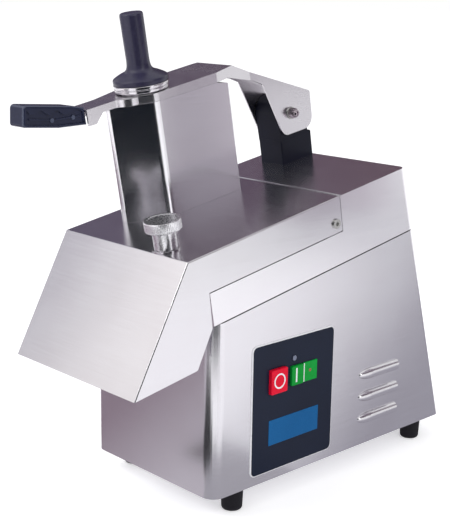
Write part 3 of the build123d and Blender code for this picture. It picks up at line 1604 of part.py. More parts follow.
with BuildPart() as pilot_lamp:
    with BuildSketch(Plane.YZ.offset(button_back_x)):
        with Locations(lamp_place):
            Rectangle(lamp_length, start_height)
    extrude(amount=button_depth + lamp_proud)
    fillet(pilot_lamp.faces().sort_by(Axis.X)[-1].edges(), 0.8)
pilot_lamp.part.label = "pilot_lamp"
export_step(pilot_lamp.part, "parts/pilot_lamp.step")

# Switch block behind the panel, with a pocket for each button and the lamp
with BuildPart() as switch_block:
    with BuildSketch(Plane.YZ.offset(half_width - switch_depth)):
        with Locations((switch_mid_y, switch_z)):
            Rectangle(switch_block_length, switch_block_height)
    extrude(amount=switch_depth)
    with BuildSketch(Plane.YZ.offset(button_back_x - button_travel - button_gap)):
        with Locations(stop_place):
            Rectangle(stop_length + 2 * button_gap, stop_height + 2 * button_gap)
        with Locations(start_place):
            Rectangle(start_length + 2 * button_gap, start_height + 2 * button_gap)
    extrude(amount=switch_depth, mode=Mode.SUBTRACT)
    with BuildSketch(Plane.YZ.offset(button_back_x)):
        with Locations(lamp_place):
            Rectangle(lamp_length, start_height)
    extrude(amount=switch_depth, mode=Mode.SUBTRACT)
switch_block.part.label = "switch_block"
export_step(switch_block.part, "parts/switch_block.step")

# Cable gland through the rear wall, with its locknut inside
gland_bore_radius = 4.0
with BuildPart() as cable_gland:
    with BuildSketch(gland_plane):
        RegularPolygon(gland_across / 2, 6, major_radius=False)
    extrude(amount=5)
    with BuildSketch(gland_plane):
        Circle(9)
    extrude(amount=gland_reach)
    fillet(cable_gland.faces().sort_by(Axis.Y)[-1].edges(), 2)
    with BuildSketch(gland_plane):
        Circle(gland_thread_radius)
    extrude(amount=-10)
    with BuildSketch(gland_plane.offset(-sheet)):
        RegularPolygon(gland_across / 2, 6, major_radius=False)
    extrude(amount=-5)
    with BuildSketch(gland_plane.offset(-10)):
        Circle(gland_bore_radius)
    extrude(amount=10 + gland_reach, mode=Mode.SUBTRACT)
cable_gland.part.label = "cable_gland"
export_step(cable_gland.part, "parts/cable_gland.step")

# Safety switches in the head: one by the cover's rear wall, one under the lever bracket
with BuildPart() as safety_switches:
    with BuildSketch(on_deck(cover_switch_v, cover_switch_x, head_wall_u + sheet)):
        Rectangle(safety_switch_length, safety_switch_depth, align=(Align.CENTER, Align.MIN))
    extrude(amount=safety_switch_height)
    with BuildSketch(
        on_deck(-sheet - safety_switch_height, lever_x, (bracket_front_u + bracket_rear_u) / 2)
    ):
        Rectangle(safety_switch_depth, safety_switch_length)
    extrude(amount=safety_switch_height)
safety_switches.part.label = "safety_switches"
export_step(safety_switches.part, "parts/safety_switches.step")
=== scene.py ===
"""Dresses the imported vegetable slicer: finishes, turned and moulded detail, marks, light and camera."""

import json
from math import cos, radians, sin

import bmesh
import bpy
import numpy as np
from mathutils import Matrix, Vector

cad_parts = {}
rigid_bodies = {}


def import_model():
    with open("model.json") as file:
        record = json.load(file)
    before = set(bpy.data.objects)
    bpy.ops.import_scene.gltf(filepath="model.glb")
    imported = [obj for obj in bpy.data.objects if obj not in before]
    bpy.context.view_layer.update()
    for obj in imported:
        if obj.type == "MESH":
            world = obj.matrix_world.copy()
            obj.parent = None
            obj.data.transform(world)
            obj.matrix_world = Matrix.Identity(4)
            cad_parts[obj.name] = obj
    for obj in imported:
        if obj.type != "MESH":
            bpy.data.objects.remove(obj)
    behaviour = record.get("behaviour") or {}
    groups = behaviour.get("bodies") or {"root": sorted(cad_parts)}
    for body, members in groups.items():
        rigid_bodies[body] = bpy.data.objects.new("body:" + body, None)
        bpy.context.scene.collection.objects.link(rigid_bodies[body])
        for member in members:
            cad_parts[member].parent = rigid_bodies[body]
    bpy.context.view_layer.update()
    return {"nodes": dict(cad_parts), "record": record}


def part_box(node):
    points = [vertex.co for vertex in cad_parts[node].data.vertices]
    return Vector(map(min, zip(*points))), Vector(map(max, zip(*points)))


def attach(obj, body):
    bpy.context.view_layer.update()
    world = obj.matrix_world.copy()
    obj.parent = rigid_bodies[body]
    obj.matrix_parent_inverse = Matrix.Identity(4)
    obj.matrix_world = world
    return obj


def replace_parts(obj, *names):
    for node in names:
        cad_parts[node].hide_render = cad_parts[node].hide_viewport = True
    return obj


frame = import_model()

MM = 0.001
FRONT_WALL_Y = -157.5
FOOT_HEIGHT = 30.0
DECK_TILT = radians(10.5)
# The deck's origin: how far it lies ahead of the front wall, and how high over the feet
DECK_AHEAD, DECK_HEIGHT = 42.2, 307.6
DECK_ORIGIN = np.array([0.0, FRONT_WALL_Y - DECK_AHEAD, FOOT_HEIGHT + DECK_HEIGHT])
DECK_ACROSS = np.array([1.0, 0.0, 0.0])
DECK_REAR = np.array([0.0, cos(DECK_TILT), sin(DECK_TILT)])
DECK_UP = np.array([0.0, -sin(DECK_TILT), cos(DECK_TILT)])


def linear(hex_colour):
    """sRGB hex to linear: c / 12.92 below 0.04045, else ((c + 0.055) / 1.055) to the power 2.4."""
    channels = [int(hex_colour[i : i + 2], 16) / 255 for i in (1, 3, 5)]
    return [c / 12.92 if c <= 0.04045 else ((c + 0.055) / 1.055) ** 2.4 for c in channels] + [1.0]


def add_node(tree, kind, inputs=None, **settings):
    """Adds a shader node. An input given as (node, output) is linked, and any other is a value."""
    node = tree.nodes.new("ShaderNode" + kind)
    for name, value in settings.items():
        setattr(node, name, value)
    for name, value in (inputs or {}).items():
        if isinstance(value, tuple):
            tree.links.new(value[0].outputs[value[1]], node.inputs[name])
        else:
            node.inputs[name].default_value = value
    return node


# The sum of a finish's two noises lies mostly between these
NOISE_SPAN = {"From Min": 0.7, "From Max": 1.3}
SMUDGE_SCALE = 14.0  # cycles per metre, for smudges about 70 mm across


def finish_material(name, colours, roughness, grain, metallic=0.0, specular=0.5):
    """Surface = shader whose colour and roughness swing between two values with a stretched noise.

    colours and roughness are pairs, low and high. grain is the cycles per metre along x, y and z, and a bump
    height in metres. specular is the shader's own level, 0.5 where the finish is no duller than its material.
    Real belt lines, grit and mould grain are 0.05 to 0.3 mm apart, too fine to show, so they are drawn 1 to
    5 mm apart.
    """
    material = bpy.data.materials.new(name)
    material.use_nodes = True
    tree = material.node_tree
    tree.nodes.clear()
    place = add_node(tree, "TexCoord")
    stretch = add_node(tree, "Mapping", {"Vector": (place, "Object"), "Scale": list(grain[:3])})
    fine = add_node(tree, "TexNoise", {"Vector": (stretch, 0), "Scale": 1.0, "Detail": 3.0})
    smudge = add_node(tree, "TexNoise", {"Vector": (place, "Object"), "Scale": SMUDGE_SCALE, "Detail": 2.0})
    blend = add_node(tree, "Math", {0: (fine, 0), 1: (smudge, 0)}, operation="ADD")
    share = add_node(tree, "MapRange", {"Value": (blend, 0), **NOISE_SPAN})
    tint = add_node(
        tree,
        "Mix",
        {0: (share, 0), 6: linear(colours[0]), 7: linear(colours[1])},
        data_type="RGBA",
    )
    sheen = add_node(
        tree,
        "MapRange",
        {"Value": (blend, 0), **NOISE_SPAN, "To Min": roughness[0], "To Max": roughness[1]},
    )
    bump = add_node(tree, "Bump", {"Height": (fine, 0), "Distance": grain[3], "Strength": 1.0})
    surface = add_node(
        tree,
        "BsdfPrincipled",
        {
            "Base Color": (tint, 2),
            "Roughness": (sheen, 0),
            "Normal": (bump, 0),
            "Metallic": metallic,
            "Specular IOR Level": specular,
        },
    )
    add_node(tree, "OutputMaterial", {"Surface": (surface, 0)})
    return material


# Stainless 304 sheet with a satin belt finish: fine level lines that blur what it mirrors across them.
brushed_stainless = finish_material(
    "brushed_stainless_304", ("#d9d7db", "#dddce0"), (0.21, 0.24), (12, 12, 700, 0.0000012), 1.0
)
# The same steel taken further, to a mirror that hand wear has dulled a little.
polished_stainless = finish_material(
    "polished_stainless_304", ("#ccc9ce", "#d4d2d6"), (0.14, 0.2), (60, 60, 240, 0.0000015), 1.0
)
# The lever's sheet: the same steel with a satin blast, too dull for a clear image.
satin_stainless = finish_material(
    "satin_stainless_304", ("#ccc9ce", "#d4d2d6"), (0.22, 0.28), (60, 60, 240, 0.0000015), 1.0
)
# The chute's sheet, buffed after welding: the same steel with a clearer mirror.
buffed_stainless = finish_material(
    "buffed_stainless_304", ("#d9d7db", "#dddce0"), (0.16, 0.19), (12, 12, 700, 0.000001), 1.0
)
# The upper casing's sheet, from a finer belt: the same lines, a little paler.
fine_stainless = finish_material(
    "fine_brushed_stainless_304", ("#e4e2e6", "#e9e8eb"), (0.21, 0.24), (12, 12, 700, 0.0000012), 1.0
)
# Knurled and tumbled steel: bright, and too rough for a clear image.
knurled_stainless = finish_material(
    "knurled_stainless_304", ("#e2e1e5", "#ecebee"), (0.24, 0.32), (500, 500, 500, 0.000003), 1.0
)
# Steel of the panel's screw, dulled by a chemical bath: a grey-blue gleam.
dulled_steel = finish_material(
    "passivated_steel_grey", ("#747a8d", "#83899b"), (0.3, 0.4), (400, 400, 400, 0.00001), 1.0
)
# Oil-blackened steel of the small grip screws: a duller grey gleam.
blackened_steel = finish_material(
    "oil_blackened_steel", ("#4d5366", "#5b6174"), (0.3, 0.4), (400, 400, 400, 0.00001), 1.0
)
# Hinge nuts: the same steel made darker and brownish, a painted shade for the dark things they mirror; it
# still mirrors.
darkened_steel = finish_material(
    "tarnished_stainless_304", ("#8f858d", "#aaa1a8"), (0.12, 0.2), (300, 300, 300, 0.000004), 1.0
)
# Zinc plate: slightly warm, soft metal sheen.
zinc_steel = finish_material(
    "zinc_plated_steel", ("#b3b3ae", "#c6c7c4"), (0.28, 0.42), (300, 300, 300, 0.00002), 1.0
)
# Stoved enamel on laminations and pressings: near black with a half-matt sheen.
dark_steel = finish_material(
    "black_enamelled_steel", ("#16171a", "#202227"), (0.35, 0.5), (200, 200, 200, 0.00004)
)
# Sand-cast aluminium with turned faces: pale, dull and faintly pitted.
cast_aluminium = finish_material(
    "cast_aluminium", ("#b1b3b6", "#c6c8cb"), (0.38, 0.52), (260, 260, 260, 0.00006), 1.0
)
# Bearing brass: warm yellow, with faint streaks drawn along its axis.
brass_bush = finish_material(
    "turned_brass", ("#b08a48", "#c8a25e"), (0.25, 0.35), (40, 400, 400, 0.00001), 1.0
)
# Moulded rubber: matte and a little dusty.
black_rubber = finish_material(
    "moulded_rubber", ("#141319", "#1d1b22"), (0.6, 0.78), (500, 500, 500, 0.00004), specular=0.3
)
# Glass-filled nylon moulding from a spark-eroded tool: a fine even grain over navy black.
black_moulding = finish_material(
    "moulded_nylon_navy_black", ("#12172e", "#1b213e"), (0.3, 0.4), (900, 900, 900, 0.00001), specular=0.3
)
# The same nylon on the grip's edges and recess walls, smoother and painted paler: a painted highlight where
# light catches them.
highlit_moulding = finish_material(
    "rubbed_nylon_navy_grey", ("#30364b", "#40465c"), (0.22, 0.3), (900, 900, 900, 0.000004), specular=0.5
)
# Powder coat on the cast bracket: near black, fine orange peel.
bracket_coat = finish_material(
    "black_powder_coat", ("#0a0c1a", "#101325"), (0.4, 0.5), (700, 700, 700, 0.00003), specular=0.16
)
# Smooth acetal moulding: a plum black with a softer, wetter highlight.
black_gloss = finish_material(
    "moulded_acetal_plum_black", ("#232138", "#2e2b44"), (0.28, 0.38), (300, 300, 300, 0.00001), specular=0.4
)
# Natural white acetal: slightly warm, with a waxy sheen.
white_moulding = finish_material(
    "moulded_acetal_white", ("#dcdbd5", "#e9e8e3"), (0.35, 0.45), (300, 300, 300, 0.00002)
)
# Printed polyester overlay on an aluminium plate: satin navy.
navy_panel = finish_material(
    "printed_polyester_navy", ("#131a2c", "#182034"), (0.34, 0.42), (700, 700, 700, 0.000006), specular=0.14
)
# Moulded polycarbonate caps and lens: deep even colour under a faint gloss.
CAP_GRAIN = (200, 200, 200, 0.000006)
red_button = finish_material(
    "moulded_polycarbonate_red", ("#dc0a2b", "#e61136"), (0.25, 0.35), CAP_GRAIN, specular=0.1
)
green_button = finish_material(
    "moulded_polycarbonate_green", ("#008a2c", "#009636"), (0.25, 0.35), CAP_GRAIN, specular=0.1
)
green_lens = finish_material(
    "polycarbonate_lens_green", ("#009030", "#009e3c"), (0.12, 0.2), CAP_GRAIN, specular=0.12
)
# Screen-printed inks and the blank plate: flat even colour, half matt.
white_ink = finish_material(
    "printed_white_ink", ("#e6e8ee", "#f0f1f5"), (0.45, 0.55), (400, 400, 400, 0.000004)
)
blue_plate_finish = finish_material(
    "printed_blue_plate", ("#0c578f", "#125f99"), (0.35, 0.42), (400, 400, 400, 0.000006), specular=0.1
)
red_ink = finish_material(
    "printed_red_ink", ("#8a5a3c", "#965f42"), (0.45, 0.55), (400, 400, 400, 0.000004)
)
# A pale bead round the panel: soft-edged and a little uneven.
pale_bead_finish = finish_material(
    "silicone_sealant_white", ("#dedee4", "#ebebef"), (0.4, 0.55), (300, 300, 300, 0.00002)
)

finishes = {
    "brushed_stainless": brushed_stainless,
    "polished_stainless": polished_stainless,
    "zinc_steel": zinc_steel,
    "dark_steel": dark_steel,
    "cast_aluminium": cast_aluminium,
    "brass_bush": brass_bush,
    "black_rubber": black_rubber,
    "black_moulding": black_moulding,
    "black_gloss": black_gloss,
    "white_moulding": white_moulding,
    "navy_panel": navy_panel,
    "red_button": red_button,
    "green_button": green_button,
    "green_lens": green_lens,
}
slot_of = {entry["node"]: entry["material_slot"] for entry in frame["record"]["subparts"]}
body_of = {name: node.parent.name.split(":", 1)[1] for name, node in frame["nodes"].items()}
for name, node in frame["nodes"].items():
    node.data.materials.clear()
    node.data.materials.append(dulled_steel if name == "panel_screw" else finishes[slot_of[name]])


def deck_points(x, u, v):
    """Row-frame metres of deck coordinates in mm: origin + x * across + u * rear + v * up."""
    x, u, v = np.broadcast_arrays(x, u, v)
    spread = x[..., None] * DECK_ACROSS + u[..., None] * DECK_REAR + v[..., None] * DECK_UP
    return (DECK_ORIGIN + spread) * MM


GRID_WELD, CAD_WELD = 1e-7, 1e-6  # metres within which points are merged
SMOOTH_ANGLE, EASED_ANGLE, FLAT_ANGLE = radians(38), radians(30), radians(0.4)


def place_mesh(name, points, faces, body, material, smooth=True):
    """Makes a piece at the origin from points (metres, row frame) and faces, and rides it on a body."""
    mesh = bpy.data.meshes.new(name)
    mesh.from_pydata(np.asarray(points).reshape(-1, 3).tolist(), [], [list(map(int, f)) for f in faces])
    mesh.materials.append(material)
    piece = bpy.data.objects.new(name, mesh)
    bpy.context.scene.collection.objects.link(piece)
    welded = bmesh.new()
    welded.from_mesh(mesh)
    bmesh.ops.remove_doubles(welded, verts=welded.verts, dist=GRID_WELD)
    bmesh.ops.recalc_face_normals(welded, faces=welded.faces)
    welded.to_mesh(mesh)
    welded.free()
    if smooth:
        mesh.shade_smooth()
        mesh.set_sharp_from_angle(angle=SMOOTH_ANGLE)
    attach(piece, body)
    return piece


def grid_faces(rows, columns, wrap_rows=False, wrap_columns=False):
    """Quads of a rows by columns grid of points, joined round where wrapped."""
    i = np.arange(rows if wrap_rows else rows - 1)[:, None]
    j = np.arange(columns if wrap_columns else columns - 1)[None, :]
    i2, j2 = (i + 1) % rows, (j + 1) % columns
    corners = [i * columns + j, i * columns + j2, i2 * columns + j2, i2 * columns + j]
    return np.stack(np.broadcast_arrays(*corners), axis=-1).reshape(-1, 4)


def soft_profile(corners, steps=5):
    """A profile of corners (radius, height, rounding).

    Each corner is cut back by its rounding and bridged by a quadratic curve.
    """
    knots = np.array([c[:2] for c in corners], float)
    line = [knots[:1]]
    for before, here, after, cut in zip(knots[:-2], knots[1:-1], knots[2:], [c[2] for c in corners[1:-1]]):
        back, ahead = before - here, after - here
        start = here + back * min(0.5, cut / max(np.hypot(*back), 1e-6))
        end = here + ahead * min(0.5, cut / max(np.hypot(*ahead), 1e-6))
        t = np.linspace(0, 1, steps)[:, None] if cut else np.array([[0.0]])
        line.append((1 - t) ** 2 * start + 2 * t * (1 - t) * here + t**2 * end)
    line.append(knots[-1:])
    return np.concatenate(line)


def turned(name, x, u, corners, body, material, swell=None, steps=96):
    """Surface of revolution round the upright line at (x, u).

    Point = (x + r cos a, u + r sin a, v) for the profile's (r, v). swell(r, v, a) may change r, as a knurl
    does.
    """
    profile = soft_profile(corners)
    angle = np.linspace(0, 2 * np.pi, steps, endpoint=False)[None, :]
    radius = np.repeat(profile[:, :1], steps, axis=1)
    height = np.repeat(profile[:, 1:], steps, axis=1)
    if swell:
        radius = swell(radius, height, angle)
    points = deck_points(x + radius * np.cos(angle), u + radius * np.sin(angle), height)
    return place_mesh(name, points, grid_faces(len(profile), steps, wrap_columns=True), body, material)


def crisp_copy(node, width, material=None):
    """The node's own mesh, welded and with its flat faces joined.

    A narrow bevel eases its edges, so that they catch the light.
    """
    mesh = frame["nodes"][node].data.copy()
    welded = bmesh.new()
    welded.from_mesh(mesh)
    bmesh.ops.remove_doubles(welded, verts=welded.verts, dist=CAD_WELD)
    bmesh.ops.dissolve_limit(
        welded, angle_limit=FLAT_ANGLE, use_dissolve_boundaries=False, verts=welded.verts, edges=welded.edges
    )
    welded.to_mesh(mesh)
    welded.free()
    if material:
        mesh.materials.clear()
        mesh.materials.append(material)
    piece = bpy.data.objects.new(node + "_finished", mesh)
    bpy.context.scene.collection.objects.link(piece)
    mesh.shade_smooth()
    mesh.set_sharp_from_angle(angle=EASED_ANGLE)
    eased = piece.modifiers.new("eased_edges", "BEVEL")
    eased.width = width * MM
    eased.segments = 2
    eased.limit_method = "ANGLE"
    eased.angle_limit = EASED_ANGLE
    eased.harden_normals = True
    flat = piece.modifiers.new("flat_faces_stay_flat", "WEIGHTED_NORMAL")
    flat.weight = 100
    flat.keep_sharp = True
    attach(piece, body_of[node])
    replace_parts(piece, node)
    return piece


# Eased nodes whose finish differs from their slot's
own_finish = {
    "feed_chute": buffed_stainless,
    "lever": satin_stainless,
    "head_shell": fine_stainless,
    "lever_bracket": bracket_coat,
    "grip_screws": blackened_steel,
    # The hinge nuts' darker steel is painted shade
    "hinge_nuts": darkened_steel,
}
# Width of the eased edge in mm
edge_width = {
    "grip_screws": 0.4,
    "base_shell": 0.4,
    "head_shell": 0.4,
    "cover": 0.4,
    "feed_chute": 0.4,
    "lever": 0.6,
    "lever_bracket": 1.2,
    "grip": 0.9,
    "disc_pan": 0.6,
    "control_panel": 0.3,
    "stop_button": 0.5,
    "start_button": 0.5,
    "pilot_lamp": 0.4,
    "rubber_feet": 0.6,
    "hinge_nuts": 0.4,
    "hinge_washers": 0.3,
    "cover_pivot_screws": 0.2,
    "knob_washer": 0.4,
    "cable_gland": 0.5,
    "bottom_plate": 0.3,
}
for node, width in edge_width.items():
    crisp_copy(node, width, own_finish.get(node))


ROUNDED_EDGE, LOOKS_ALONG_X = 0.86, 0.5
RECESS_DEPTH, SIDE_FACE = 3.0, 0.2


def paint_edge_highlight(piece, finish):
    """Gives the grip's edges and recess walls a second, paler finish: a painted highlight.

    They are its rounded edges, where no part of the normal reaches ROUNDED_EDGE, and the recess's own walls.
    Those are faces that don't look along X, whose middle is between SIDE_FACE and RECESS_DEPTH mm in from one
    of the piece's two sides.
    """
    mesh = piece.data
    mesh.materials.append(finish)
    count = len(mesh.polygons)
    normal, middle = np.empty(count * 3), np.empty(count * 3)
    mesh.polygons.foreach_get("normal", normal)
    mesh.polygons.foreach_get("center", middle)
    slope = np.abs(normal.reshape(-1, 3))
    x = middle.reshape(-1, 3)[:, 0]
    inset = np.minimum(x - x.min(), x.max() - x)
    walls = (slope[:, 0] < LOOKS_ALONG_X) & (inset < RECESS_DEPTH * MM) & (inset > SIDE_FACE * MM)
    # Faces that are painted paler, as a highlight
    highlit = (slope.max(axis=1) < ROUNDED_EDGE) | walls
    mesh.polygons.foreach_set("material_index", highlit.astype(np.int32))


# The grip's edges and recess walls get a painted highlight
paint_edge_highlight(bpy.data.objects["grip_finished"], highlit_moulding)

# Turned pieces, drawn finer than the solids that they stand for
LID_TOP_V, LID_TOP_U, LID_RISE = 161.0, 140.0, 0.023


def lid_top(u):
    """The lid's height over the deck: LID_TOP_V at LID_TOP_U, and LID_RISE more for each mm to the rear."""
    return LID_TOP_V + LID_RISE * (u - LID_TOP_U)


PLUNGER_X, PLUNGER_U = -63.0, 112.0
RING_GAP = 0.9
RING_LOW = lid_top(PLUNGER_U) + RING_GAP
RING_TOP = 170.0
GROOVE = (RING_LOW + RING_TOP) / 2
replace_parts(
    turned(
        "collar_ring_turned",
        PLUNGER_X,
        PLUNGER_U,
        [
            (25.0, RING_TOP - 1.0, 0),
            (25.0, RING_TOP, 0.2),
            (35.2, RING_TOP, 1.2),
            (35.2, GROOVE + 0.8, 0.3),
            (33.8, GROOVE + 0.4, 0.2),
            (33.8, GROOVE - 0.4, 0.2),
            (34.6, GROOVE - 0.8, 0.3),
            (34.6, RING_LOW, 0.8),
            (26.8, RING_LOW, 0),
            (26.8, RING_TOP - 1.0, 0),
            (25.0, RING_TOP - 1.0, 0),
        ],
        body_of["collar_ring"],
        polished_stainless,
    ),
    "collar_ring",
)
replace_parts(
    turned(
        "plunger_moulded",
        PLUNGER_X,
        PLUNGER_U,
        [
            (0.0, 31.0, 0),
            (22.5, 31.0, 0.5),
            (24.5, 33.0, 1),
            (24.5, 170.3, 0),
            (34.8, 170.3, 0.6),
            (35.2, 176.3, 2.2),
            (26.2, 181.6, 7),
            (16.6, 185.2, 6),
            (14.5, 193.3, 6),
            (14.8, 256.5, 3.5),
            (0.0, 256.5, 0),
        ],
        body_of["plunger"],
        black_gloss,
    ),
    "plunger",
)
KNOB_X, KNOB_U = 60.0, 17.0
KNURL_COUNT, KNURL_DEPTH, STEPS_PER_KNURL = 64, 0.5, 6
RIM_RADIUS, RIM_LOW, RIM_HIGH = 22.0, 26.0, 36.5


def knurl(radius, height, angle):
    """Radius less half of KNURL_DEPTH times (1 + cos(KNURL_COUNT * angle)), only on the head's rim."""
    rim = (radius > RIM_RADIUS) & (height > RIM_LOW) & (height < RIM_HIGH)
    return radius - rim * KNURL_DEPTH / 2 * (1 + np.cos(KNURL_COUNT * angle))


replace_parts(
    turned(
        "clamp_knob_turned",
        KNOB_X,
        KNOB_U,
        [
            (5.05, 2.3, 0),
            (14.5, 2.3, 0.6),
            (14.5, 23.3, 0.5),
            (15.5, 24.3, 0.4),
            (21.0, 24.3, 1.0),
            (22.5, 25.9, 1.2),
            (22.5, 36.6, 0),
            (22.5, 37.8, 1.4),
            (18.0, 37.8, 0.4),
            (17.4, 37.4, 0.4),
            (0.0, 37.4, 0),
            (0.0, 23.3, 0),
            (5.05, 23.3, 0),
            (5.05, 2.3, 0),
        ],
        body_of["clamp_knob"],
        knurled_stainless,
        swell=knurl,
        steps=KNURL_COUNT * STEPS_PER_KNURL,
    ),
    "clamp_knob",
)


SEAM_U, DECK_HALF, SEAM_STEPS = 262.4, 116.5, 24
# Points round the edge's section: distance to the rear and height over the deck
SEAM_SECTION = np.array(
    [(0.0, -0.3), (0.05, 0.4), (0.5, 0.9), (1.3, 1.1), (2.2, 0.85), (3.0, 0.3), (3.1, -0.3)]
)


def seam_edge():
    """The dressed front edge of the upper casing's deck: one low rounded section carried straight across."""
    across = np.linspace(-DECK_HALF, DECK_HALF, SEAM_STEPS)[:, None]
    points = deck_points(across, SEAM_U + SEAM_SECTION[None, :, 0], SEAM_SECTION[None, :, 1])
    faces = [list(f) for f in grid_faces(SEAM_STEPS, len(SEAM_SECTION), wrap_columns=True)]
    last = (SEAM_STEPS - 1) * len(SEAM_SECTION)
    faces += [list(range(len(SEAM_SECTION))), [last + i for i in range(len(SEAM_SECTION))]]
    place_mesh("seam_edge", points, faces, body_of["head_shell"], polished_stainless)


seam_edge()


# Panel marks and the blank plate
def rounded_loop(y, z, half_y, half_z, corner, steps=8):
    """Points (y, z) round a rectangle whose corners are quarter circles.

    Point = the corner's centre + corner * (cos a, sin a), for a once round.
    """
    a = (np.arange(4 * steps) + 0.5) * 2 * np.pi / (4 * steps)
    cy, cz = np.cos(a), np.sin(a)
    loop_y = y + np.sign(cy) * (half_y - corner) + corner * cy
    loop_z = z + np.sign(cz) * (half_z - corner) + corner * cz
    return np.stack([loop_y, loop_z], axis=1)


MARK_SINK = 0.1  # mm that a mark reaches into the face under it
# Shares of a plate's height: where its edge starts to ease, and how far in it goes
EASE_START, EASE_IN = 0.6, 0.4


def plaque(name, face, loop, height, body, material):
    """A closed plate on a face square to X: the loop lifted by height, with an eased edge.

    Rows of the grid: the middle and the loop sunk by MARK_SINK, the loop at EASE_START of the height, the
    loop drawn in by EASE_IN at the full height, and the middle again.
    """
    middle = loop.mean(axis=0)
    reach = np.abs(loop - middle).max(axis=0)
    drawn_in = middle + (loop - middle) * (1 - EASE_IN * height / reach)
    centre = np.repeat(middle[None], len(loop), axis=0)
    rows = [centre, loop, loop, drawn_in, centre]
    lift = [-MARK_SINK, -MARK_SINK, EASE_START * height, height, height]
    points = np.stack(
        [np.column_stack([np.full(len(loop), face + rise), row]) for row, rise in zip(rows, lift)]
    )
    faces = grid_faces(len(rows), len(loop), wrap_columns=True)
    return place_mesh(name, points * MM, faces, body, material, smooth=False)


def ring_mark(name, face, y, z, radius, stroke, height, body, material, steps=72):
    """A flat ring on a face square to X: a four-cornered section carried round a circle."""
    a = np.linspace(0, 2 * np.pi, steps, endpoint=False)
    inner, outer = radius - stroke / 2, radius + stroke / 2
    low, high = face - MARK_SINK, face + height
    section_r, section_x = np.array([inner, inner, outer, outer]), np.array([low, high, high, low])
    points = np.stack(
        [
            np.repeat(section_x[:, None], steps, axis=1),
            y + section_r[:, None] * np.cos(a),
            z + section_r[:, None] * np.sin(a),
        ],
        axis=-1,
    )
    return place_mesh(name, points * MM, grid_faces(4, steps, True, True), body, material, smooth=False)


def face_x(node):
    """The outermost X of a node, in mm."""
    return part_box(node)[1][0] / MM


STOP_FACE, START_FACE, LAMP_FACE = face_x("stop_button"), face_x("start_button"), face_x("pilot_lamp")
PANEL_FACE = face_x("control_panel")
MARK_HEIGHT, PLATE_HEIGHT = 0.15, 0.4
RING_RADIUS, RING_STROKE = 9.0, 2.0
ring_mark(
    "stop_ring",
    STOP_FACE,
    107.3 + FRONT_WALL_Y,
    163.3,
    RING_RADIUS,
    RING_STROKE,
    MARK_HEIGHT,
    "stop_button",
    white_ink,
)
LAMP_BODY, PANEL_BODY = body_of["pilot_lamp"], body_of["control_panel"]
# Name, body, face, middle as a distance behind the front wall and a height, half length, half height, corner
# radius, rise, finish
for name, body, face, behind, z, half_y, half_z, corner, rise, finish in [
    ("start_bar", "start_button", START_FACE, 139.4, 163.5, 1.3, 9.4, 0.4, MARK_HEIGHT, white_ink),
    ("lamp_divider", LAMP_BODY, LAMP_FACE, 154.9, 163.0, 0.8, 12.4, 0.3, MARK_HEIGHT, white_ink),
    ("lamp_dot", LAMP_BODY, LAMP_FACE, 166.1, 164.4, 2.2, 2.2, 2.1, MARK_HEIGHT, red_ink),
    ("blank_plate", PANEL_BODY, PANEL_FACE, 139.8, 94.8, 45.8, 16.8, 0.8, PLATE_HEIGHT, blue_plate_finish),
]:
    outline = rounded_loop(behind + FRONT_WALL_Y, z, half_y, half_z, corner)
    plaque(name, face, outline, rise, body, finish)


BEAD_SINK, BEAD_ANGLES = 0.05, (0, 22, 45, 68, 90)


def bead(name, loop, face, width, height, body, material):
    """A closed quarter-round strip along a loop on a face square to X.

    The loop is pushed outwards by width * cos b while it rises by height * sin b, for b from 0 to 90 degrees.
    The strip's foot is sunk by BEAD_SINK.
    """
    ahead = np.roll(loop, -1, axis=0) - np.roll(loop, 1, axis=0)
    outward = np.column_stack([ahead[:, 1], -ahead[:, 0]])
    outward /= np.linalg.norm(outward, axis=1)[:, None]
    b = np.radians(BEAD_ANGLES)[:, None]
    spread, rise = width * np.cos(b), height * np.sin(b)
    spread = np.concatenate([[[0.0]], spread])
    rise = np.concatenate([[[-BEAD_SINK]], rise])
    rise[1] = -BEAD_SINK
    points = np.stack(
        [
            np.broadcast_to(face + rise, (len(rise), len(loop))),
            loop[None, :, 0] + outward[None, :, 0] * spread,
            loop[None, :, 1] + outward[None, :, 1] * spread,
        ],
        axis=-1,
    )
    return place_mesh(name, points * MM, grid_faces(len(rise), len(loop), True, True), body, material)


SIDE_WALL_X, PANEL_CORNER = 117.5, 7.0
BEAD_WIDTH, BEAD_HEIGHT = 1.6, 1.5
PANEL_LOW, PANEL_HIGH = np.array(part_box("control_panel")) / MM
bead(
    "panel_sealant",
    rounded_loop(
        (PANEL_LOW[1] + PANEL_HIGH[1]) / 2,
        (PANEL_LOW[2] + PANEL_HIGH[2]) / 2,
        (PANEL_HIGH[1] - PANEL_LOW[1]) / 2,
        (PANEL_HIGH[2] - PANEL_LOW[2]) / 2,
        PANEL_CORNER,
        steps=12,
    ),
    SIDE_WALL_X,
    BEAD_WIDTH,
    BEAD_HEIGHT,
    body_of["control_panel"],
    pale_bead_finish,
)


# Studio: white floor and surround, soft lamps, and cards that only reflections show
def square_face(name, centre, half_x, half_y, material, aim=None):
    """A flat card with corners at plus or minus half_x and half_y, at its centre and turned to face aim."""
    mesh = bpy.data.meshes.new(name)
    corners = [(-half_x, -half_y, 0), (half_x, -half_y, 0), (half_x, half_y, 0), (-half_x, half_y, 0)]
    mesh.from_pydata(corners, [], [(0, 1, 2, 3)])
    mesh.materials.append(material)
    card = bpy.data.objects.new(name, mesh)
    bpy.context.scene.collection.objects.link(card)
    card.location = centre
    if aim:
        card.rotation_euler = (Vector(aim) - Vector(centre)).to_track_quat("Z", "Y").to_euler()
    return card


def seen_directly(tree):
    """1 for camera, mirror and glass rays, 0 for the rays that light the object."""
    ray = add_node(tree, "LightPath")
    seen = add_node(tree, "Math", {0: (ray, "Is Camera Ray"), 1: (ray, "Is Glossy Ray")}, operation="MAXIMUM")
    return add_node(tree, "Math", {0: (seen, 0), 1: (ray, "Is Transmission Ray")}, operation="MAXIMUM")


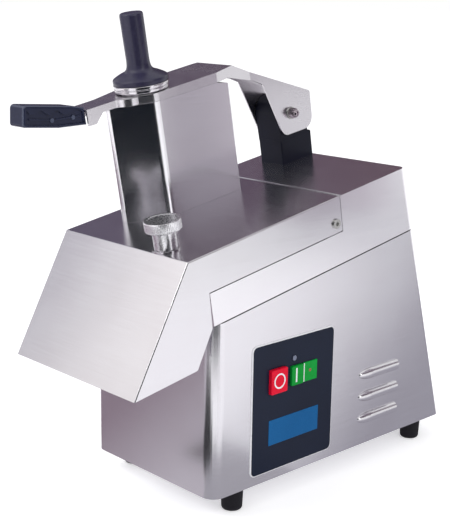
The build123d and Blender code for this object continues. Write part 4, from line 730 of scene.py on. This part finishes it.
# Matt white board: it takes the object's shadow, and a little glow lifts it to white where it is seen.
floor_finish = bpy.data.materials.new("white_board")
floor_finish.use_nodes = True
board = floor_finish.node_tree
board.nodes.clear()
matt = add_node(board, "BsdfDiffuse", {"Color": linear("#f4f4f6")})
BOARD_GLOW = 0.42
glow_level = add_node(
    board, "MapRange", {"Value": (seen_directly(board), 0), "To Min": 0.0, "To Max": BOARD_GLOW}
)
glow = add_node(board, "Emission", {"Color": linear("#ffffff"), "Strength": (glow_level, 0)})
lifted = add_node(board, "AddShader", {0: (matt, 0), 1: (glow, 0)})
add_node(board, "OutputMaterial", {"Surface": (lifted, 0)})
FLOOR_HALF = 30
square_face("floor", (0, 0, 0), FLOOR_HALF, FLOOR_HALF, floor_finish)

world = bpy.data.worlds.new("studio")
bpy.context.scene.world = world
world.use_nodes = True
sky = world.node_tree
sky.nodes.clear()
SKY_LIGHT, SKY_SEEN = 0.75, 1.0
level = add_node(sky, "MapRange", {"Value": (seen_directly(sky), 0), "To Min": SKY_LIGHT, "To Max": SKY_SEEN})
surround = add_node(sky, "Background", {"Color": linear("#ffffff"), "Strength": (level, 0)})
add_node(sky, "OutputWorld", {"Surface": (surround, 0)})


def flag(name, centre, aim, size, colours, ramp=(-0.6, 0.6), slant=0.0, glow=1.0):
    """A card seen only in reflections, facing aim, or straight up where aim is None. glow is its strength.

    Its colour runs from one to the other between the ramp's two distances, in metres along
    x cos slant + y sin slant from the card's centre. Beyond them it stays even.
    """
    cloth = bpy.data.materials.new(name)
    cloth.use_nodes = True
    tree = cloth.node_tree
    tree.nodes.clear()
    place = add_node(tree, "TexCoord")
    along = add_node(tree, "Mapping", {"Vector": (place, "Object"), "Rotation": [0.0, 0.0, -slant]})
    split = add_node(tree, "SeparateXYZ", {"Vector": (along, 0)})
    share = add_node(tree, "MapRange", {"Value": (split, "X"), "From Min": ramp[0], "From Max": ramp[1]})
    shade = add_node(
        tree, "Mix", {0: (share, 0), 6: linear(colours[0]), 7: linear(colours[1])}, data_type="RGBA"
    )
    light = add_node(tree, "Emission", {"Color": (shade, 2), "Strength": glow})
    add_node(tree, "OutputMaterial", {"Surface": (light, 0)})
    card = square_face(name, centre, *size, cloth, aim)
    card.visible_camera = False
    card.visible_diffuse = False
    card.visible_shadow = False
    card.visible_transmission = False
    return card


MIDDLE = (0.0, 0.0, 0.36)
flag("deck_flag", (-0.78, 0.6, 0.9), MIDDLE, (0.6, 0.5), ("#666176", "#665059"))
flag("high_flag", (0.85, 0.55, 0.9), MIDDLE, (0.6, 0.5), ("#6e5c6d", "#5c4f5b"))
flag("lens_flag", (0.6, -0.5, 0.4), MIDDLE, (0.44, 0.5), ("#0b111a", "#0b111b"))
flag(
    "chute_flag",
    (0.3, 0.26, 0.45),
    (0.0, 0.26, 0.45),
    (0.12, 0.145),
    ("#b9b3bc", "#cdc6cf"),
    ramp=(-0.011, 0.036),
    slant=radians(165),
)
flag(
    "hood_flag",
    (-0.55, -0.55, 0.68),
    (-0.1, -0.25, 0.28),
    (0.42, 0.45),
    ("#bfbdc5", "#fffbfa"),
    ramp=(-0.08, 0.108),
    slant=radians(170),
    glow=1.07,
)
# Cards that lie on the floor, for the upright walls
flag(
    "side_flag",
    (0.49, 0.61, 0.003),
    None,
    (0.51, 0.89),
    ("#9a98a1", "#fdfcff"),
    ramp=(-0.066, 0.204),
    slant=radians(330),
    glow=1.25,
)
flag(
    "far_flag",
    (1.5, 1.45, 0.003),
    None,
    (0.5, 0.95),
    ("#ffffff", "#d5d5da"),
    ramp=(-0.275, -0.04),
    slant=radians(130),
    glow=1.05,
)
flag(
    "front_flag",
    (-0.5, -0.62, 0.0035),
    None,
    (0.62, 0.46),
    ("#ccc6ce", "#978793"),
    ramp=(-0.281, -0.08),
    slant=radians(155),
)
flag("low_flag", (0.2, -0.14, 0.0045), None, (0.13, 0.17), ("#b3b1b8", "#b3b1b9"))
flag("corner_flag", (0.1, -0.52, 0.004), None, (0.17, 0.24), ("#0b0b10", "#0b0b11"))


def soft_lamp(name, place, aim, size, watts):
    """A square area lamp at place, turned to face aim."""
    lamp = bpy.data.lights.new(name, "AREA")
    lamp.size = size
    lamp.energy = watts
    holder = bpy.data.objects.new(name, lamp)
    bpy.context.scene.collection.objects.link(holder)
    holder.location = place
    holder.rotation_euler = (Vector(aim) - Vector(place)).to_track_quat("-Z", "Y").to_euler()
    return holder


LAMP_AIM = (0, 0, 0.3)
soft_lamp("key", (-1.2, -2.2, 2.4), LAMP_AIM, 1.6, 45)
soft_lamp("fill", (2.6, -0.4, 1.8), LAMP_AIM, 1.8, 18)

# Camera fitted to the photograph
CAMERA_PLACE = (1.06141, -1.03876, 0.64176)
CAMERA_AZIMUTH, CAMERA_ELEVATION, CAMERA_ROLL = radians(46.47), radians(13.56), radians(0.86)
CAMERA_LENS, CAMERA_FILM = 78.27, 36.0
camera = bpy.data.cameras.new("photo_camera")
camera.lens, camera.sensor_width = CAMERA_LENS, CAMERA_FILM
camera.clip_end = 2 * FLOOR_HALF
viewpoint = bpy.data.objects.new("photo_camera", camera)
bpy.context.scene.collection.objects.link(viewpoint)
back = np.array(
    [
        sin(CAMERA_AZIMUTH) * cos(CAMERA_ELEVATION),
        -cos(CAMERA_AZIMUTH) * cos(CAMERA_ELEVATION),
        sin(CAMERA_ELEVATION),
    ]
)
level_right = np.array([cos(CAMERA_AZIMUTH), sin(CAMERA_AZIMUTH), 0.0])
level_up = np.cross(back, level_right)
right = level_right * cos(CAMERA_ROLL) + level_up * sin(CAMERA_ROLL)
up = -level_right * sin(CAMERA_ROLL) + level_up * cos(CAMERA_ROLL)
viewpoint.matrix_world = Matrix(
    [[right[i], up[i], back[i], CAMERA_PLACE[i]] for i in range(3)] + [[0, 0, 0, 1]]
)
bpy.context.scene.camera = viewpoint
bpy.context.scene.view_settings.view_transform = "Standard"
